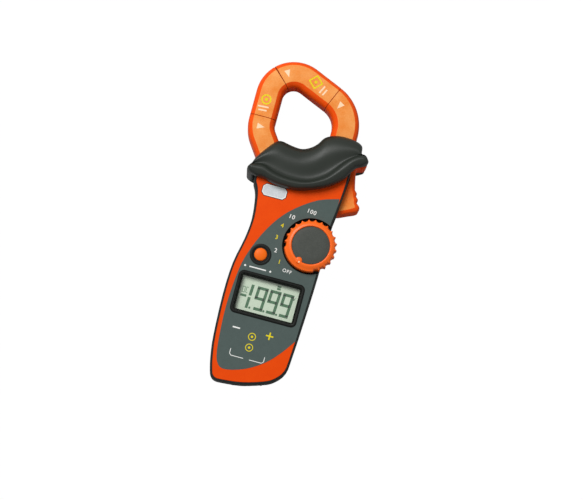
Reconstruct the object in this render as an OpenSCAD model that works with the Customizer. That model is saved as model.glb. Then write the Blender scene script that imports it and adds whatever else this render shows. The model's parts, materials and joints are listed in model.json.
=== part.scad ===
// Clamp meter, lying on its back: +Z out of the face, +Y towards the jaws, millimetres.
// Every piece is drawn with x from the middle of the grip and y from the bottom end, and
// in_frame() then brings the middle of the whole length to y = 0.

/* [Case] */
// Length from the bottom end to the top of the jaws
overall_l = 197.6; // [196:0.2:200]
// Width of the case across the grip
body_w = 51.8; // [49:0.2:56]
// Height of the face plate above the back
face_z = 31; // [30:0.5:33]
// Height of the joint between the two covers
split_z = 15.5; // [15:0.25:16.5]
// Wall of both covers
wall = 1.8; // [1.4:0.1:2.2]
// Width of the dark rim round the face plate
rim_w = 1.55; // [1.2:0.05:2.2]
// Thickness of the face plate
plate_t = 1.6; // [1.2:0.1:2]
// Thickness of the grey function label
label_t = 0.4; // [0.3:0.05:0.6]

/* [Jaws] */
// Width of the jaws across their section
jaw_w = 16.1; // [15:0.1:17]
// Thickness of the jaws
jaw_t = 17; // [16:0.1:17.4]
// Height of the jaws' middle plane above the back
jaw_z = 17; // [16.8:0.1:17.2]
// Width of the slope on the inner edge of the jaws
bevel_in = 3.3; // [2:0.1:4]
// Width of the slope on the outer edge of the jaws
bevel_out = 2.2; // [1.5:0.1:3]
// Radius of the jaws' middle line at the top left corner
corner_r = 15; // [14:0.25:16]
// Radius of the jaws' middle line at the right shoulder
shoulder_r = 20.6; // [19:0.2:22]
// Angle through which the moving jaw opens
jaw_travel = 27; // [20:1:28]
// Width of the laminated core
core_w = 8; // [7:0.1:9]
// Thickness of the laminated core
core_t = 9; // [8:0.1:9.8]
// Width of the sensing coil on the core
coil_w = 12; // [11:0.1:12.4]
// Thickness of the sensing coil
coil_t = 12.6; // [11.5:0.1:13]
// Length of the sensing coil
coil_l = 14; // [10:0.5:16]

/* [Lever and guard] */
// Radius of the pivot pin
pin_r = 2; // [1.5:0.1:2.5]
// Clearance between a turning shaft and its hole
run_gap = 0.06; // [0.02:0.01:0.1]
// Thickness of the trigger lever
lever_t = 16.2; // [15:0.1:16.4]
// Radius of the ribs on the trigger
grip_r = 1.5; // [1:0.1:2]
// Height of the finger barrier above the back
ridge_z = 39; // [37.5:0.25:41]
// Wire of the return spring
spring_wire = 1; // [0.7:0.05:1.2]

/* [Display] */
// Width of the display's opening
lcd_w = 34.4; // [31:0.2:36]
// Height of the display's opening
lcd_h = 20.2; // [18:0.2:21.5]
// Width of the display's raised frame
bezel_w = 2.5; // [2:0.1:3]
// How far the display's frame stands out of the face
bezel_rise = 1.2; // [0.8:0.1:1.6]
// Thickness of the clear pane
pane_t = 1.2; // [0.8:0.1:1.4]
// Thickness of the liquid crystal cell
lcd_t = 2.4; // [2:0.1:2.8]

/* [Dial] */
// Radius of the dial
dial_r = 15.5; // [14.5:0.1:16]
// Height of the dial's top above the back
dial_z = 36; // [35:0.25:38]
// Number of steps round the dial's edge
dial_steps = 24; // [20:1:28]
// Radius of each finger notch
notch_r = 2.2; // [1.6:0.1:2.6]
// Depth of each finger notch
notch_depth = 1.1; // [0.7:0.1:1.4]
// Radius of the grey disc in the dial
disc_r = 11.2; // [10:0.1:12]
// Radius of the dial's shaft
shaft_r = 3.5; // [3:0.1:4]
// Angle through which the dial turns
dial_travel = 132; // [110:1:144]

/* [Button] */
// Radius of the round button
button_r = 3.75; // [3.25:0.05:4.25]
// How far the button is pressed
button_travel = 1.2; // [0.8:0.1:1.5]
// Radius of the button's black surround
button_ring_r = 6.1; // [5.6:0.1:6.6]

/* [Test lead jacks] */
// Radius of the bore for the lead's plug
jack_r = 2; // [1.9:0.05:2.1]
// Wall of the brass socket
jack_wall = 0.5; // [0.4:0.05:0.6]
// Radius of the plastic sleeve round the socket
sleeve_r = 3.4; // [3.1:0.1:3.6]
// Radius of the well round the sleeve
jack_well_r = 5.3; // [5:0.1:5.6]
// Depth of the well round the sleeve
jack_depth = 14; // [12:0.5:15]
// Distance between the two jacks
jack_pitch = 19; // [18.5:0.1:19.5]

/* [Power] */
// Diameter of each battery cell
cell_d = 10.4; // [10:0.1:10.5]
// Length of each battery cell
cell_l = 44.2; // [43:0.1:44.5]
// Thickness of the battery cover
lid_t = 1.7; // [1.4:0.1:1.8]
// Thickness of the circuit board
board_t = 1.6; // [1.2:0.1:1.8]
// Radius of the buzzer
buzzer_r = 4.9; // [4:0.1:5.2]

/* [Hidden] */
$fn = 48;

// Gaps: between pieces that lie together, and between pieces that move past each other
seat = 0.1;
clear = 0.3;
past = 1; // how far a cut runs past the face it opens

// Heights
deck_z = face_z - plate_t;
deck_under = deck_z - wall;
rim_z = face_z - 0.4;
jaw_top = jaw_z + jaw_t / 2;
jaw_bottom = jaw_z - jaw_t / 2;
bay_top = jaw_top + clear;
bay_bottom = jaw_bottom - clear;
label_z = face_z + 0.1;

// Plan: the left of the head goes with the grip's left side and the right of the head with
// its right side, and both go with the pivot, a head's length below the top of the jaws
grip_left = -body_w / 2;
grip_right = body_w / 2;
head_l = 58.6;
foot_l = 26;
pivot = [grip_right - 4.7, overall_l - head_l];
jaw_left = grip_left - 12.5;
arm_x = jaw_left + jaw_w / 2;
corner = [arm_x + corner_r, overall_l - jaw_w / 2 - corner_r];
shoulder = [grip_right - 27.3, pivot.y + 23.5];
lower_r = 15.85;
lower_y = pivot.y + 18;
// Places on the grip go by their share of its length, from the foot to the pivot
function up(share) = foot_l + share * (pivot.y - foot_l);
// Places in the head are given from the pivot's height
function head(line) = [for (p = line) [p.x, pivot.y + p.y]];
seam_angle = atan2(corner.y - pivot.y, corner.x - pivot.x);

// Points and curves
function arc(c, r, a0, a1, n) =
    [for (i = [0:n]) c + r * [cos(a0 + (a1 - a0) * i / n), sin(a0 + (a1 - a0) * i / n)]];
function mix(a, b, t) = a + (b - a) * t;
function unit(v) = v / norm(v);
function left_of(v) = [-v.y, v.x];
function bend(a, b, c, d, t) = 0.5 * (2 * b + (c - a) * t
    + (2 * a - 5 * b + 4 * c - d) * t * t + (3 * b - a - 3 * c + d) * t * t * t);
function through(p, n) = [for (i = [0:len(p) - 2], k = [0:n - 1])
    bend(p[max(i - 1, 0)], p[i], p[i + 1], p[min(i + 2, len(p) - 1)], k / n), p[len(p) - 1]];
function beside(p, d) = let (last = len(p) - 1) [for (i = [0:last])
    p[i] + d * left_of(unit(p[min(i + 1, last)] - p[max(i - 1, 0)]))];
function at_z(p, z) = [for (q = p) [q.x, q.y, z]];
function mean(p) = [for (i = [0:len(p) - 1]) 1] * p / len(p);

// The guard, station by station from its left ear to its right ear:
// lower edge, valley behind the finger barrier, upper edge
guard_plan = [
    [[grip_left - 4.7, -15.1], [grip_left - 5, -12.5], [grip_left - 4.7, -12]],
    [[grip_left - 2.7, -16.3], [grip_left - 3.4, -11.4], [grip_left - 3.4, -10.4]],
    [[grip_left + 1.3, -17.3], [grip_left - 0.5, -10.7], [grip_left - 2.3, -6.2]],
    [[grip_left + 5.4, -17.3], [grip_left + 3.9, -10.4], [grip_left + 2.7, 1.7]],
    [[grip_left + 10.4, -18.7], [grip_left + 10.1, -12.7], [grip_left + 8.5, 7.9]],
    [[-8.5, -19.5], [-9, -14], [-10.4, 7.1]],
    [[-1.3, -19.3], [-1.5, -14.1], [-3.4, 6.5]],
    [[5, -17.8], [4.6, -13.2], [2, 8.9]],
    [[11.2, -15.6], [10.4, -10.5], [5.6, 12.4]],
    [[17.5, -12.5], [15.6, -6.7], [8.7, 17]],
    [[grip_right - 3.4, -8.7], [grip_right - 6.4, -1.8], [grip_right - 10.3, 19.9]],
    [[grip_right + 0.1, -5.2], [grip_right - 2.8, 3.1], [grip_right - 1.5, 20]],
    [[grip_right + 2.4, -1], [grip_right + 0.9, 7.2], [grip_right + 5.2, 17.6]],
    [[grip_right + 4.9, 2.6], [grip_right + 4.9, 9.8], [grip_right + 6.1, 12.4]],
    [[grip_right + 7.7, 4.1], [grip_right + 8.3, 10.7], [grip_right + 8.4, 11.3]],
    [[grip_right + 10.4, 5.9], [grip_right + 10.8, 8.4], [grip_right + 10.8, 9]]];
guard_steps = 3;
guard_low = through(head([for (s = guard_plan) s[0]]), guard_steps);
guard_valley = through(head([for (s = guard_plan) s[1]]), guard_steps);
guard_high = through(head([for (s = guard_plan) s[2]]), guard_steps);
guard_lip = 0.4; // share of the barrier's width that laps over the case
guard_last = len(guard_low) - 1;

// Outline of the case: down the left side, round the bottom, up the right side, then back
// under the guard
case_side = through(concat(
    head([[grip_left - 0.2, -16.2], [grip_left + 0.4, -20.1], [grip_left + 2.2, -23.7],
        [grip_left + 3.6, -29.4]]),
    [[grip_left + 4.8, up(0.635)], [grip_left + 3.7, up(0.525)], [grip_left + 0.7, up(0.385)],
        [grip_left - 0.1, up(0.22)], [grip_left + 0.9, 25.8], [grip_left + 2.5, 13.3],
        [grip_left + 4.4, 5.1], [grip_left + 5.8, 2.0], [grip_left + 8.2, 0.3],
        [grip_left + 12, 0], [-1.5, 1.4], [11, 5.1], [grip_right - 8.5, 8.7],
        [grip_right - 3.7, 15.1], [grip_right - 2.4, 26], [grip_right - 1, up(0.212)],
        [grip_right, up(0.434)], [grip_right + 0.4, up(0.681)]],
    head([[grip_right + 1.5, -25.5], [grip_right + 2.7, -12], [grip_right + 3.2, 0.5]])), 3);
case_top = [for (i = [guard_last:-1:0])
    let (p = mix(guard_low[i], guard_valley[i], guard_lip - 0.04))
    if (p.x > grip_left + 2.5 && p.x < grip_right + 1) p];
// The same outline, a distance in from the sides and the top
function case_ring(d) = let (side = beside(case_side, d), last = len(side) - 1,
    x0 = case_side[last].x, x1 = case_side[0].x)
    concat(side, [for (p = case_top) let (f = (p.x - x0) / (x1 - x0))
        [mix(side[last].x, side[0].x, f), p.y - d * min(1, f / 0.15, (1 - f) / 0.15)]]);
case_line = case_ring(0);

// Middle lines of the jaws, as [x, y, heading, depth of a seam groove]
function turn(c, r, a0, a1, n) = let (s = a1 > a0 ? 90 : -90)
    [for (i = [0:n]) let (a = a0 + (a1 - a0) * i / n)
        [c.x + r * cos(a), c.y + r * sin(a), a + s, 0]];
function groove(p, at) = [for (k = [-1:1]) let (h = p[2])
    [p.x + (at + k * groove_w) * cos(h), p.y + (at + k * groove_w) * sin(h), h,
        k == 0 ? groove_w : 0]];
groove_w = 0.35;
to_shoulder = shoulder - corner;
run_angle = atan2(to_shoulder.y, to_shoulder.x)
    + asin((shoulder_r - corner_r) / norm(to_shoulder));
drop_angle = 215;
drop_l = 12;
base_r = 12;
lower_left = turn([arm_x + lower_r, lower_y], lower_r, 180, drop_angle, 6);
drop_start = lower_left[6];
drop_end = [drop_start.x + drop_l * cos(drop_angle + 90),
    drop_start.y + drop_l * sin(drop_angle + 90)];
base_arc = turn(drop_end - base_r * [cos(drop_angle), sin(drop_angle)], base_r,
    drop_angle, 270, 8);
ring_end_x = 9;
fixed_line = concat(turn(corner, corner_r, seam_angle, 180, 7),
    groove([arm_x, lower_y, 270], -2), lower_left, base_arc,
    [[ring_end_x, base_arc[8].y, 360, 0]]);
shoulder_arc = turn(shoulder, shoulder_r, 90 + run_angle, 0, 10);
moving_end_y = pivot.y + 10.4;
moving_line = concat(turn(corner, corner_r, seam_angle, 90 + run_angle, 12),
    [shoulder_arc[0]], groove(shoulder_arc[0], 0.5), [for (i = [1:10]) shoulder_arc[i]],
    [[shoulder.x + shoulder_r, moving_end_y, -90, 0]]);
function side_points(line, u) = [for (p = line) [p.x - u * sin(p[2]), p.y + u * cos(p[2])]];
function reversed(p) = [for (i = [len(p) - 1:-1:0]) p[i]];
function ribbon(line, a, b) = concat(side_points(line, a), reversed(side_points(line, b)));

// Half of the jaws' section, [across, height from the middle plane], inner edge at +across
jaw_half = [[-jaw_w / 2, seat / 2], [jaw_w / 2, seat / 2],
    [jaw_w / 2, jaw_t / 2 - 1.15 * bevel_in],
    [jaw_w / 2 - 0.35 * bevel_in, jaw_t / 2 - 0.42 * bevel_in],
    [jaw_w / 2 - bevel_in, jaw_t / 2 - 0.06], [0, jaw_t / 2],
    [-jaw_w / 2 + bevel_out, jaw_t / 2 - 0.06],
    [-jaw_w / 2 + 0.35 * bevel_out, jaw_t / 2 - 0.42 * bevel_out],
    [-jaw_w / 2, jaw_t / 2 - 1.15 * bevel_out]];
function jaw_ring(p, half, inner, up) = [for (q = (inner * up > 0 ? half : reversed(half)))
    let (k = 1 - p[3] / (jaw_w / 2), u = inner * q.x * k,
        z = q.y > seat ? q.y - p[3] : q.y)
    [p.x - u * sin(p[2]), p.y + u * cos(p[2]), jaw_z + up * z]];

// Places on the face
dial_at = [grip_right - 9.2, up(0.5681)];
well_r = dial_r + 1.2;
well_floor = 25;
well_wall = 1.6;
button_at = [-10.3, up(0.4593)];
lcd_at = [0.3, up(0.2469)];
rest_angle = 243.5; // where the dial points at rest
// The dial stops where a peg on the well's floor meets the ends of a groove in the dial
stop_at_r = 12;
stop_r = 1;
stop_h = 1.8;
stop_angle = 100;
// The grey label passes the dial, the button and the display's frame
label_left = lcd_at.x - lcd_w / 2 - bezel_w;
label_top = up(0.83);
label_low = 36;
label_line = concat(through([
    [grip_right + 0.2, up(0.847)], [dial_at.x - 2.6, up(0.812)], [dial_at.x - 14.5, up(0.739)],
    [dial_at.x - 22.6, up(0.663)], button_at + [-2.5, 11.6], button_at + [-7.5, -0.8],
    [label_left - 0.9, lcd_at.y + 12.6], [label_left - 2.3, lcd_at.y - 3.4],
    [label_left - 2.4, lcd_at.y - 17.4], [grip_left + 5.6, 17.5], [grip_left + 8.4, 9.5],
    [-12.2, 7.9], [-1.5, 11.1], [8.5, 17.3], [16, 25.1], [grip_right - 3.4, 34]], 3),
    [for (p = case_ring(rim_w + seat)) if (p.x > dial_at.x && p.y > label_low && p.y < label_top) p]);

// Inside
board_z = split_z + 0.7;
board_top = board_z + board_t;
bay_x = cell_d + 2;
jack_end = jack_depth + 6;
bay_y0 = jack_end + wall + 0.5;
bay_y1 = bay_y0 + cell_l + 9.2;
bay_z1 = lid_t + cell_d + 1;
floor_round = 7; // up to here the rear cover is thicker at its sides, for its rounded edge
cell_y = (bay_y0 + bay_y1) / 2;
cell_z = lid_t + 0.4 + cell_d / 2;
lid_screw_y = bay_y1 + 5;
lid_end = lid_screw_y + 4.6; // the lid's far end
lid_boss_r = 3.2;
lid_boss_z = 2.6;
screw_places = [[grip_left + 6, lcd_at.y - 22.9], [grip_right - 5.8, lcd_at.y - 22.9],
    [grip_left + 6.6, lcd_at.y + 20.1],
    [grip_right - 4.8, lcd_at.y + 16.1], [grip_left + 8.6, up(0.774)]];
boss_r = 2.7;
screw_r = 1.1;
screw_head_r = 2;
screw_head_t = 1.3;
case_screw_l = 20;
guard_screw_l = 22;
board_screw_l = 6;
lid_screw_l = 4.6;
board_places = [[grip_left + 7.5, lcd_at.y - 15.9], [grip_right - 7.5, lcd_at.y - 15.9],
    [grip_left + 9.4, up(0.655)], [4.5, up(0.69)]];
board_y0 = jack_end - 1;
board_y1 = up(0.726);
chip_at = [-9, up(0.549)];
chip_w = 10;
chip_t = 1.5;
buzzer_at = board_places[2] + [8, 0.4];
buzzer_t = 4;
resistor_at = [-14, 31];
resistor_pitch = 5;
resistor_r = 1.1;
resistor_l = 5;
lead_r = 0.3;
lead_l = 8;
jack_mid = -2.7;
jack_places = [jack_mid - jack_pitch / 2, jack_mid + jack_pitch / 2];
jack_z = split_z;
jack_mouth = 5; // where the brass socket starts, behind the mouth of its well
// The block behind the wells that holds the jacks' sleeves
jack_block_w = jack_pitch + 14;
jack_block_l = 4;
ear = [grip_left - 2.7, pivot.y - 13.6];
ear_r = 2.7;
pin_bottom = 3.2;
pin_top = ridge_z - 6.3;

module in_frame() {
    translate([0, -overall_l / 2, 0]) children();
}

// A closed solid through rings of equal length, capped from the middle of each end ring
module skin(rings) {
    n = len(rings[0]);
    m = len(rings);
    polyhedron(
        points = concat([for (r = rings) each r], [mean(rings[0]), mean(rings[m - 1])]),
        faces = concat(
            [for (j = [0:m - 2], i = [0:n - 1]) let (k = (i + 1) % n)
                each [[j * n + i, (j + 1) * n + i, (j + 1) * n + k],
                    [j * n + i, (j + 1) * n + k, j * n + k]]],
            [for (i = [0:n - 1]) [m * n, i, (i + 1) % n]],
            [for (i = [0:n - 1]) [m * n + 1, (m - 1) * n + (i + 1) % n, (m - 1) * n + i]]));
}

module slab(line, z0, z1) {
    translate([0, 0, z0]) linear_extrude(z1 - z0) polygon(line);
}

module post(at, r, z0, z1) {
    translate([at.x, at.y, z0]) cylinder(r = r, h = z1 - z0);
}

// A box of the given size, centred in plan on at, from z0 to z1
module block(at, w, l, z0, z1) {
    translate([at.x - w / 2, at.y - l / 2, z0]) cube([w, l, z1 - z0]);
}

// The part of a body between two heights, with flat ends
module cut_flat(z0, z1) {
    intersection() {
        children();
        block([0, overall_l / 2], 3 * body_w, 2 * overall_l, z0, z1);
    }
}

module round_block(at, w, l, r, z0, z1) {
    x = w / 2 - r;
    y = l / 2 - r;
    corners = [[x, y, 0], [-x, y, 90], [-x, -y, 180], [x, -y, 270]];
    slab([for (c = corners) each arc([at.x + c.x, at.y + c.y], r, c[2], c[2] + 90, 6)], z0, z1);
}

// Everything that the lever sweeps between the two covers
module lever_room() {
    reach = max(concat([for (p = lever_ribs) norm(p - pivot) + grip_r],
        [for (p = lever_line) norm(p - pivot)])) + clear + seat;
    slab(concat([pivot], arc(pivot, reach, -87 - jaw_travel, 50, 24)), bay_bottom, bay_top);
    post(pivot, hub_r + 3 * clear, bay_bottom, bay_top);
}

module jaw_room() {
    slab(ribbon(fixed_line, -jaw_w / 2 - seat, jaw_w / 2 + seat),
        jaw_bottom - seat, jaw_top + seat);
    slab(head([[-20, -9], [40, -3], [40, 31], [-20, 31]]), bay_bottom, bay_top);
}

module jack_cuts() {
    for (x = jack_places) translate([x, -past, jack_z]) rotate([-90, 0, 0]) {
        cylinder(r = jack_well_r, h = jack_depth + past);
        cylinder(r = sleeve_r + seat, h = jack_depth + 4 + past);
    }
}

// The room of the front guard's foot, which stands behind its lip
module guard_foot() {
    slab(concat([for (i = [0:guard_last]) mix(guard_low[i], guard_valley[i], guard_lip) - [0, seat]],
        head([[45, 31], [-45, 31]])), bay_top - seat, face_z + past);
}

module rear_cover() in_frame() color("#2f3230") {
    difference() {
        union() {
            difference() {
                cut_flat(0, split_z - seat) skin([at_z(case_ring(3.5), -seat),
                    at_z(case_ring(2), 0.9), at_z(case_ring(1.1), 3),
                    at_z(case_ring(0.45), 8), at_z(case_line, split_z + past)]);
                slab(case_ring(wall + 2.2), wall, split_z + past);
                slab(case_ring(wall), floor_round, split_z + past);
            }
            block([0, cell_y], 2 * bay_x + 2 * wall, bay_y1 - bay_y0 + 2 * wall,
                0.2, bay_z1 + 1.2);
            block([0, lid_screw_y], 2 * bay_x, 8, 0.2, 6);
            for (p = screw_places) post(p, boss_r, 0.5, split_z - seat);
            for (p = board_places) post(p, 2.2, 1, board_z);
            block([jack_mid, jack_depth + jack_block_l / 2], jack_block_w, jack_block_l,
                wall, jack_z - seat);
        }
        block([0, cell_y], 2 * bay_x, bay_y1 - bay_y0, -past, bay_z1);
        block([0, (bay_y0 + lid_end) / 2], 2 * bay_x + 0.6,
            lid_end - bay_y0, -past, lid_t + seat);
        post([0, lid_screw_y], screw_r - 0.2, lid_t, 5.2);
        post([0, lid_screw_y], lid_boss_r + clear, lid_t, lid_boss_z + seat);
        for (p = screw_places) {
            post(p, screw_r + 0.2, -past, split_z + past);
            post(p, screw_head_r + 0.3, -past, 1.3 + screw_head_t);
        }
        for (p = board_places) post(p, screw_r - 0.2, 8, board_z + past);
        slab(concat([for (p = guard_low) p - [0, clear]], head([[45, 26], [-45, 26]])),
            -past, bay_bottom + seat);
        lever_room();
        jaw_room();
        jack_cuts();
        post(ear, ear_r + clear, -past, split_z + past);
    }
}

module front_cover() in_frame() color("#343836") {
    post(dial_at + stop_at_r * [cos(stop_angle), sin(stop_angle)], stop_r,
        well_floor - wall / 2, well_floor + stop_h);
    difference() {
        union() {
            difference() {
                cut_flat(split_z, rim_z) skin([at_z(case_line, split_z - past),
                    at_z(case_ring(0.1), 22), at_z(case_ring(0.3), 27),
                    at_z(case_ring(0.55), rim_z - 0.7), at_z(case_ring(1.7), rim_z + past)]);
                slab(case_ring(wall), split_z - past, deck_under);
            }
            intersection() {
                post(dial_at, well_r + well_wall, well_floor - wall, deck_z);
                slab(case_ring(wall / 2), split_z, face_z);
            }
            for (p = screw_places) post(p, boss_r, split_z, deck_under + seat);
            block([jack_mid, jack_depth + jack_block_l / 2], jack_block_w, jack_block_l,
                jack_z, deck_under + seat);
        }
        slab(case_ring(rim_w), deck_z, face_z + past);
        post(dial_at, well_r, well_floor, face_z + past);
        post(dial_at, shaft_r + run_gap, well_floor - wall - past, well_floor + past);
        post(button_at, button_r + clear, deck_under - past, deck_z + past);
        block(lcd_at, lcd_w, lcd_h, deck_under - past, deck_z + past);
        for (p = screw_places) post(p, screw_r - 0.2, split_z - past, deck_under - wall);
        slab(head([[-40, -11], [0, -14], [10, -11], [45, 1], [45, 26], [-40, 26]]),
            bay_bottom, bay_top);
        lever_room();
        jaw_room();
        jack_cuts();
        guard_foot();
        post(ear, ear_r + clear, split_z - past, face_z + past);
    }
}

module face_plate() in_frame() color("#e0501a") {
    difference() {
        slab(case_ring(rim_w + seat), deck_z, face_z);
        slab(label_line, label_z - label_t, face_z + past);
        round_block(lcd_at, lcd_w + 2 * bezel_w + seat, lcd_h + 2 * bezel_w + seat, 3,
            deck_z - past, face_z + past);
        post(dial_at, well_r, deck_z - past, face_z + past);
        post(button_at, button_r + clear, deck_z - past, face_z + past);
        guard_foot();
    }
}

module function_label() in_frame() color("#565f5e") {
    difference() {
        slab(label_line, label_z - label_t, label_z);
        round_block(lcd_at, lcd_w + 2 * bezel_w + 2 * seat, lcd_h + 2 * bezel_w + 2 * seat, 3,
            face_z - plate_t, label_z + past);
        post(dial_at, well_r, face_z - plate_t, label_z + past);
        post(button_at, button_ring_r + seat, face_z - plate_t, label_z + past);
    }
}

// One section of the front guard: lapping lip, base, upper edge, saddle, valley, barrier
function front_section(i) = let (l = guard_low[i], v = guard_valley[i], h = guard_high[i],
    lip = mix(l, v, guard_lip), e = min(i, guard_last - i) / guard_steps,
    low = 2.6 * max(0, 1 - e) * max(0, 1 - e), top = ridge_z - low)
    [[l.x, l.y, label_z + seat], [lip.x, lip.y, label_z + seat], [lip.x, lip.y, bay_top],
        [h.x, h.y, bay_top], [h.x, h.y, top - 9], at3(mix(h, v, 0.1), top - 5),
        at3(mix(h, v, 0.32), top - 2.8), at3(mix(h, v, 0.58), top - 2.2),
        at3(mix(h, v, 0.84), top - 3), at3(v, top - 3.7), at3(mix(v, l, 0.22), top - 1.3),
        at3(mix(v, l, 0.45), top), at3(mix(v, l, 0.75), top - 0.9),
        at3(mix(v, l, 0.96), top - 3.8)];
function at3(p, z) = [p.x, p.y, z];

module front_guard() in_frame() color("#3a3f3c") {
    difference() {
        union() {
            skin([for (i = [0:guard_last]) front_section(i)]);
            post(ear, ear_r, jaw_z + seat / 2, ridge_z - 6);
        }
        post(pivot, pin_r + run_gap, bay_top - past, pin_top + clear);
        post(ear, screw_r - 0.2, jaw_z - past, ridge_z - 9);
    }
}

function rear_section(i) = let (l = guard_low[i], v = guard_valley[i], h = guard_high[i])
    [at3(l, bay_bottom), at3(l, 2.6), at3(mix(l, v, 0.25), 1), at3(mix(l, v, 0.55), 0.6),
        at3(mix(l, v, 0.85), 1.3), at3(v, 2.1), at3(mix(v, h, 0.3), 1.2),
        at3(mix(v, h, 0.65), 1), at3(mix(v, h, 0.92), 2.6), at3(h, 4.8),
        at3(h, bay_bottom)];

module rear_guard() in_frame() color("#3a3f3c") {
    difference() {
        union() {
            skin([for (i = [0:guard_last]) rear_section(i)]);
            post(ear, ear_r, 3, jaw_z - seat / 2);
        }
        post(pivot, pin_r + run_gap, pin_bottom - 2 * seat, bay_bottom + past);
        post(ear, screw_r + 0.2, -past, jaw_z + past);
        post(ear, screw_head_r + 0.2, -past, 2.7 + screw_head_t);
    }
}

module battery_cover() in_frame() color("#2f3230") {
    difference() {
        union() {
            block([0, (bay_y0 + lid_end) / 2], 2 * bay_x + 0.2,
                lid_end - bay_y0 - 0.4, 0.1, lid_t);
            post([0, lid_screw_y], lid_boss_r, 0.5, lid_boss_z);
        }
        for (k = [-3:3]) block([0, bay_y0 + 12 + 1.8 * k], 14, 0.8, -past, 0.6);
        post([0, lid_screw_y], screw_r + 0.2, -past, lid_boss_z + past);
        post([0, lid_screw_y], screw_head_r + 0.2, -past, 0.2 + screw_head_t);
    }
}

// A pan head screw with its head at z0, its shank going up, and a cross slot
module screw(at, z0, l) {
    difference() {
        union() {
            post(at, screw_head_r, z0, z0 + screw_head_t);
            post(at, screw_r - 0.25, z0 + 1, z0 + l);
        }
        for (a = [0, 90]) translate([at.x, at.y, z0]) rotate([0, 0, a])
            cube([2.4, 0.6, 1.2], center = true);
    }
}

module battery_cover_screw() in_frame() color("silver") {
    screw([0, lid_screw_y], 0.15, lid_screw_l);
}

module case_screws() in_frame() color("silver") {
    for (p = screw_places) screw(p, 1.25, case_screw_l);
}

module guard_screw() in_frame() color("silver") {
    screw(ear, 2.65, guard_screw_l);
}

module cell(side) {
    translate([side * (cell_d + 0.6) / 2, cell_y, cell_z]) rotate([90, 0, 0]) {
        translate([0, 0, -cell_l / 2 + 0.6]) cylinder(d = cell_d, h = cell_l - 1.6);
        translate([0, 0, side * (cell_l - 1.6) / 2 - 0.2 * side])
            cylinder(r = 1.9, h = 1.9, center = true);
    }
}

module battery_cell_left() in_frame() color("#35507a") cell(-1);

module battery_cell_right() in_frame() color("#35507a") cell(1);

module battery_contacts() in_frame() color("silver") {
    for (y = [bay_y0 + 0.35, bay_y1 - 0.35])
        block([0, y], 2 * cell_d + 1, 0.5, lid_t + 1.2, bay_z1 - 0.4);
}

// A round wire with six sides, coiled along the points p about the given axis
module wire(p, r, axis) {
    last = len(p) - 1;
    sides = 6;
    skin([for (i = [0:last])
        let (t = unit(p[min(i + 1, last)] - p[max(i - 1, 0)]), s = unit(cross(axis, t)),
            u = cross(t, s))
        [for (k = [0:sides - 1]) p[i] + r * (s * cos(360 * k / sides) + u * sin(360 * k / sides))]]);
}

module battery_springs() in_frame() color("silver") {
    turns = 2.5;
    for (side = [-1, 1]) {
        wall_y = side > 0 ? bay_y1 - 0.6 : bay_y0 + 0.6;
        reach = (bay_y1 - bay_y0 - cell_l) / 2 - 1.5;
        wire([for (i = [0:30]) let (a = 360 * turns * i / 30, r = 3.6 - 1.8 * i / 30)
            [side * (cell_d + 0.6) / 2 + r * cos(a), wall_y - side * (0.4 + reach * i / 30),
                cell_z + r * sin(a)]], 0.35, [0, 1, 0]);
    }
}

module main_board() in_frame() color("#2e6b3a") {
    difference() {
        intersection() {
            slab(case_ring(wall + 0.8), board_z, board_top);
            block([0, (board_y0 + board_y1) / 2], 2 * body_w, board_y1 - board_y0,
                board_z - past, board_top + past);
        }
        for (p = screw_places) post(p, boss_r + clear, board_z - past, board_top + past);
        for (p = board_places) post(p, screw_r, board_z - past, board_top + past);
        block([jack_mid, jack_end - 3], jack_block_w + 1, jack_block_l + 3,
            board_z - past, board_top + past);
    }
}

module board_screws() in_frame() color("silver") {
    for (p = board_places) mirror([0, 0, 1]) screw(p, -board_top - screw_head_t - seat, board_screw_l);
}

module meter_chip() in_frame() color("#202224") {
    round_block(chip_at, chip_w, chip_w, 0.4, board_top, board_top + chip_t);
}

module board_resistors() in_frame() color("#b9a37c") {
    for (k = [0:5]) translate([resistor_at.x + resistor_pitch * k, resistor_at.y,
        board_top + resistor_r + seat / 2]) rotate([90, 0, 0]) {
        cylinder(r = resistor_r, h = resistor_l, center = true);
        cylinder(r = lead_r, h = lead_l, center = true);
    }
}

module buzzer() in_frame() color("#26282a") {
    difference() {
        post(buzzer_at, buzzer_r, board_top, board_top + buzzer_t);
        post(buzzer_at, 1, board_top + buzzer_t - 1, board_top + buzzer_t + past);
    }
}

module lcd_bezel() in_frame() color("#2c302e") {
    outer = [lcd_w + 2 * bezel_w, lcd_h + 2 * bezel_w];
    difference() {
        union() {
            round_block(lcd_at, outer.x, outer.y, 3, deck_z, face_z + bezel_rise - 0.5);
            round_block(lcd_at, outer.x - 0.8, outer.y - 0.8, 2.7,
                deck_z, face_z + bezel_rise);
        }
        round_block(lcd_at, lcd_w, lcd_h, 0.8, deck_z - past, face_z + bezel_rise + past);
        block(lcd_at, lcd_w + 2, lcd_h + 2, deck_z - past, deck_z + pane_t);
    }
}

module lcd_pane() in_frame() color("#cfd8d2", 0.5) {
    block(lcd_at, lcd_w + 1.8, lcd_h + 1.8, deck_z, deck_z + pane_t - seat);
}

module lcd_cell() in_frame() color("#b6c4ae") {
    block(lcd_at, lcd_w + 3, lcd_h + 3, deck_under - seat - lcd_t, deck_under - seat);
}

module lcd_holder() in_frame() color("#e6e6e0") {
    difference() {
        block(lcd_at, lcd_w + 5.4, lcd_h + 5.4, board_top, deck_under - 1);
        block(lcd_at, lcd_w + 3.2, lcd_h + 3.2, deck_under - seat - lcd_t, deck_under);
        block(lcd_at, lcd_w - 2, lcd_h + 1, board_top - past, deck_under);
    }
}

module lcd_rubber_strips() in_frame() color("#3d3d45") {
    for (side = [-1, 1]) block([lcd_at.x, lcd_at.y + side * (lcd_h / 2 - 1)], lcd_w - 4, 2,
        board_top, deck_under - seat - lcd_t);
}

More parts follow.
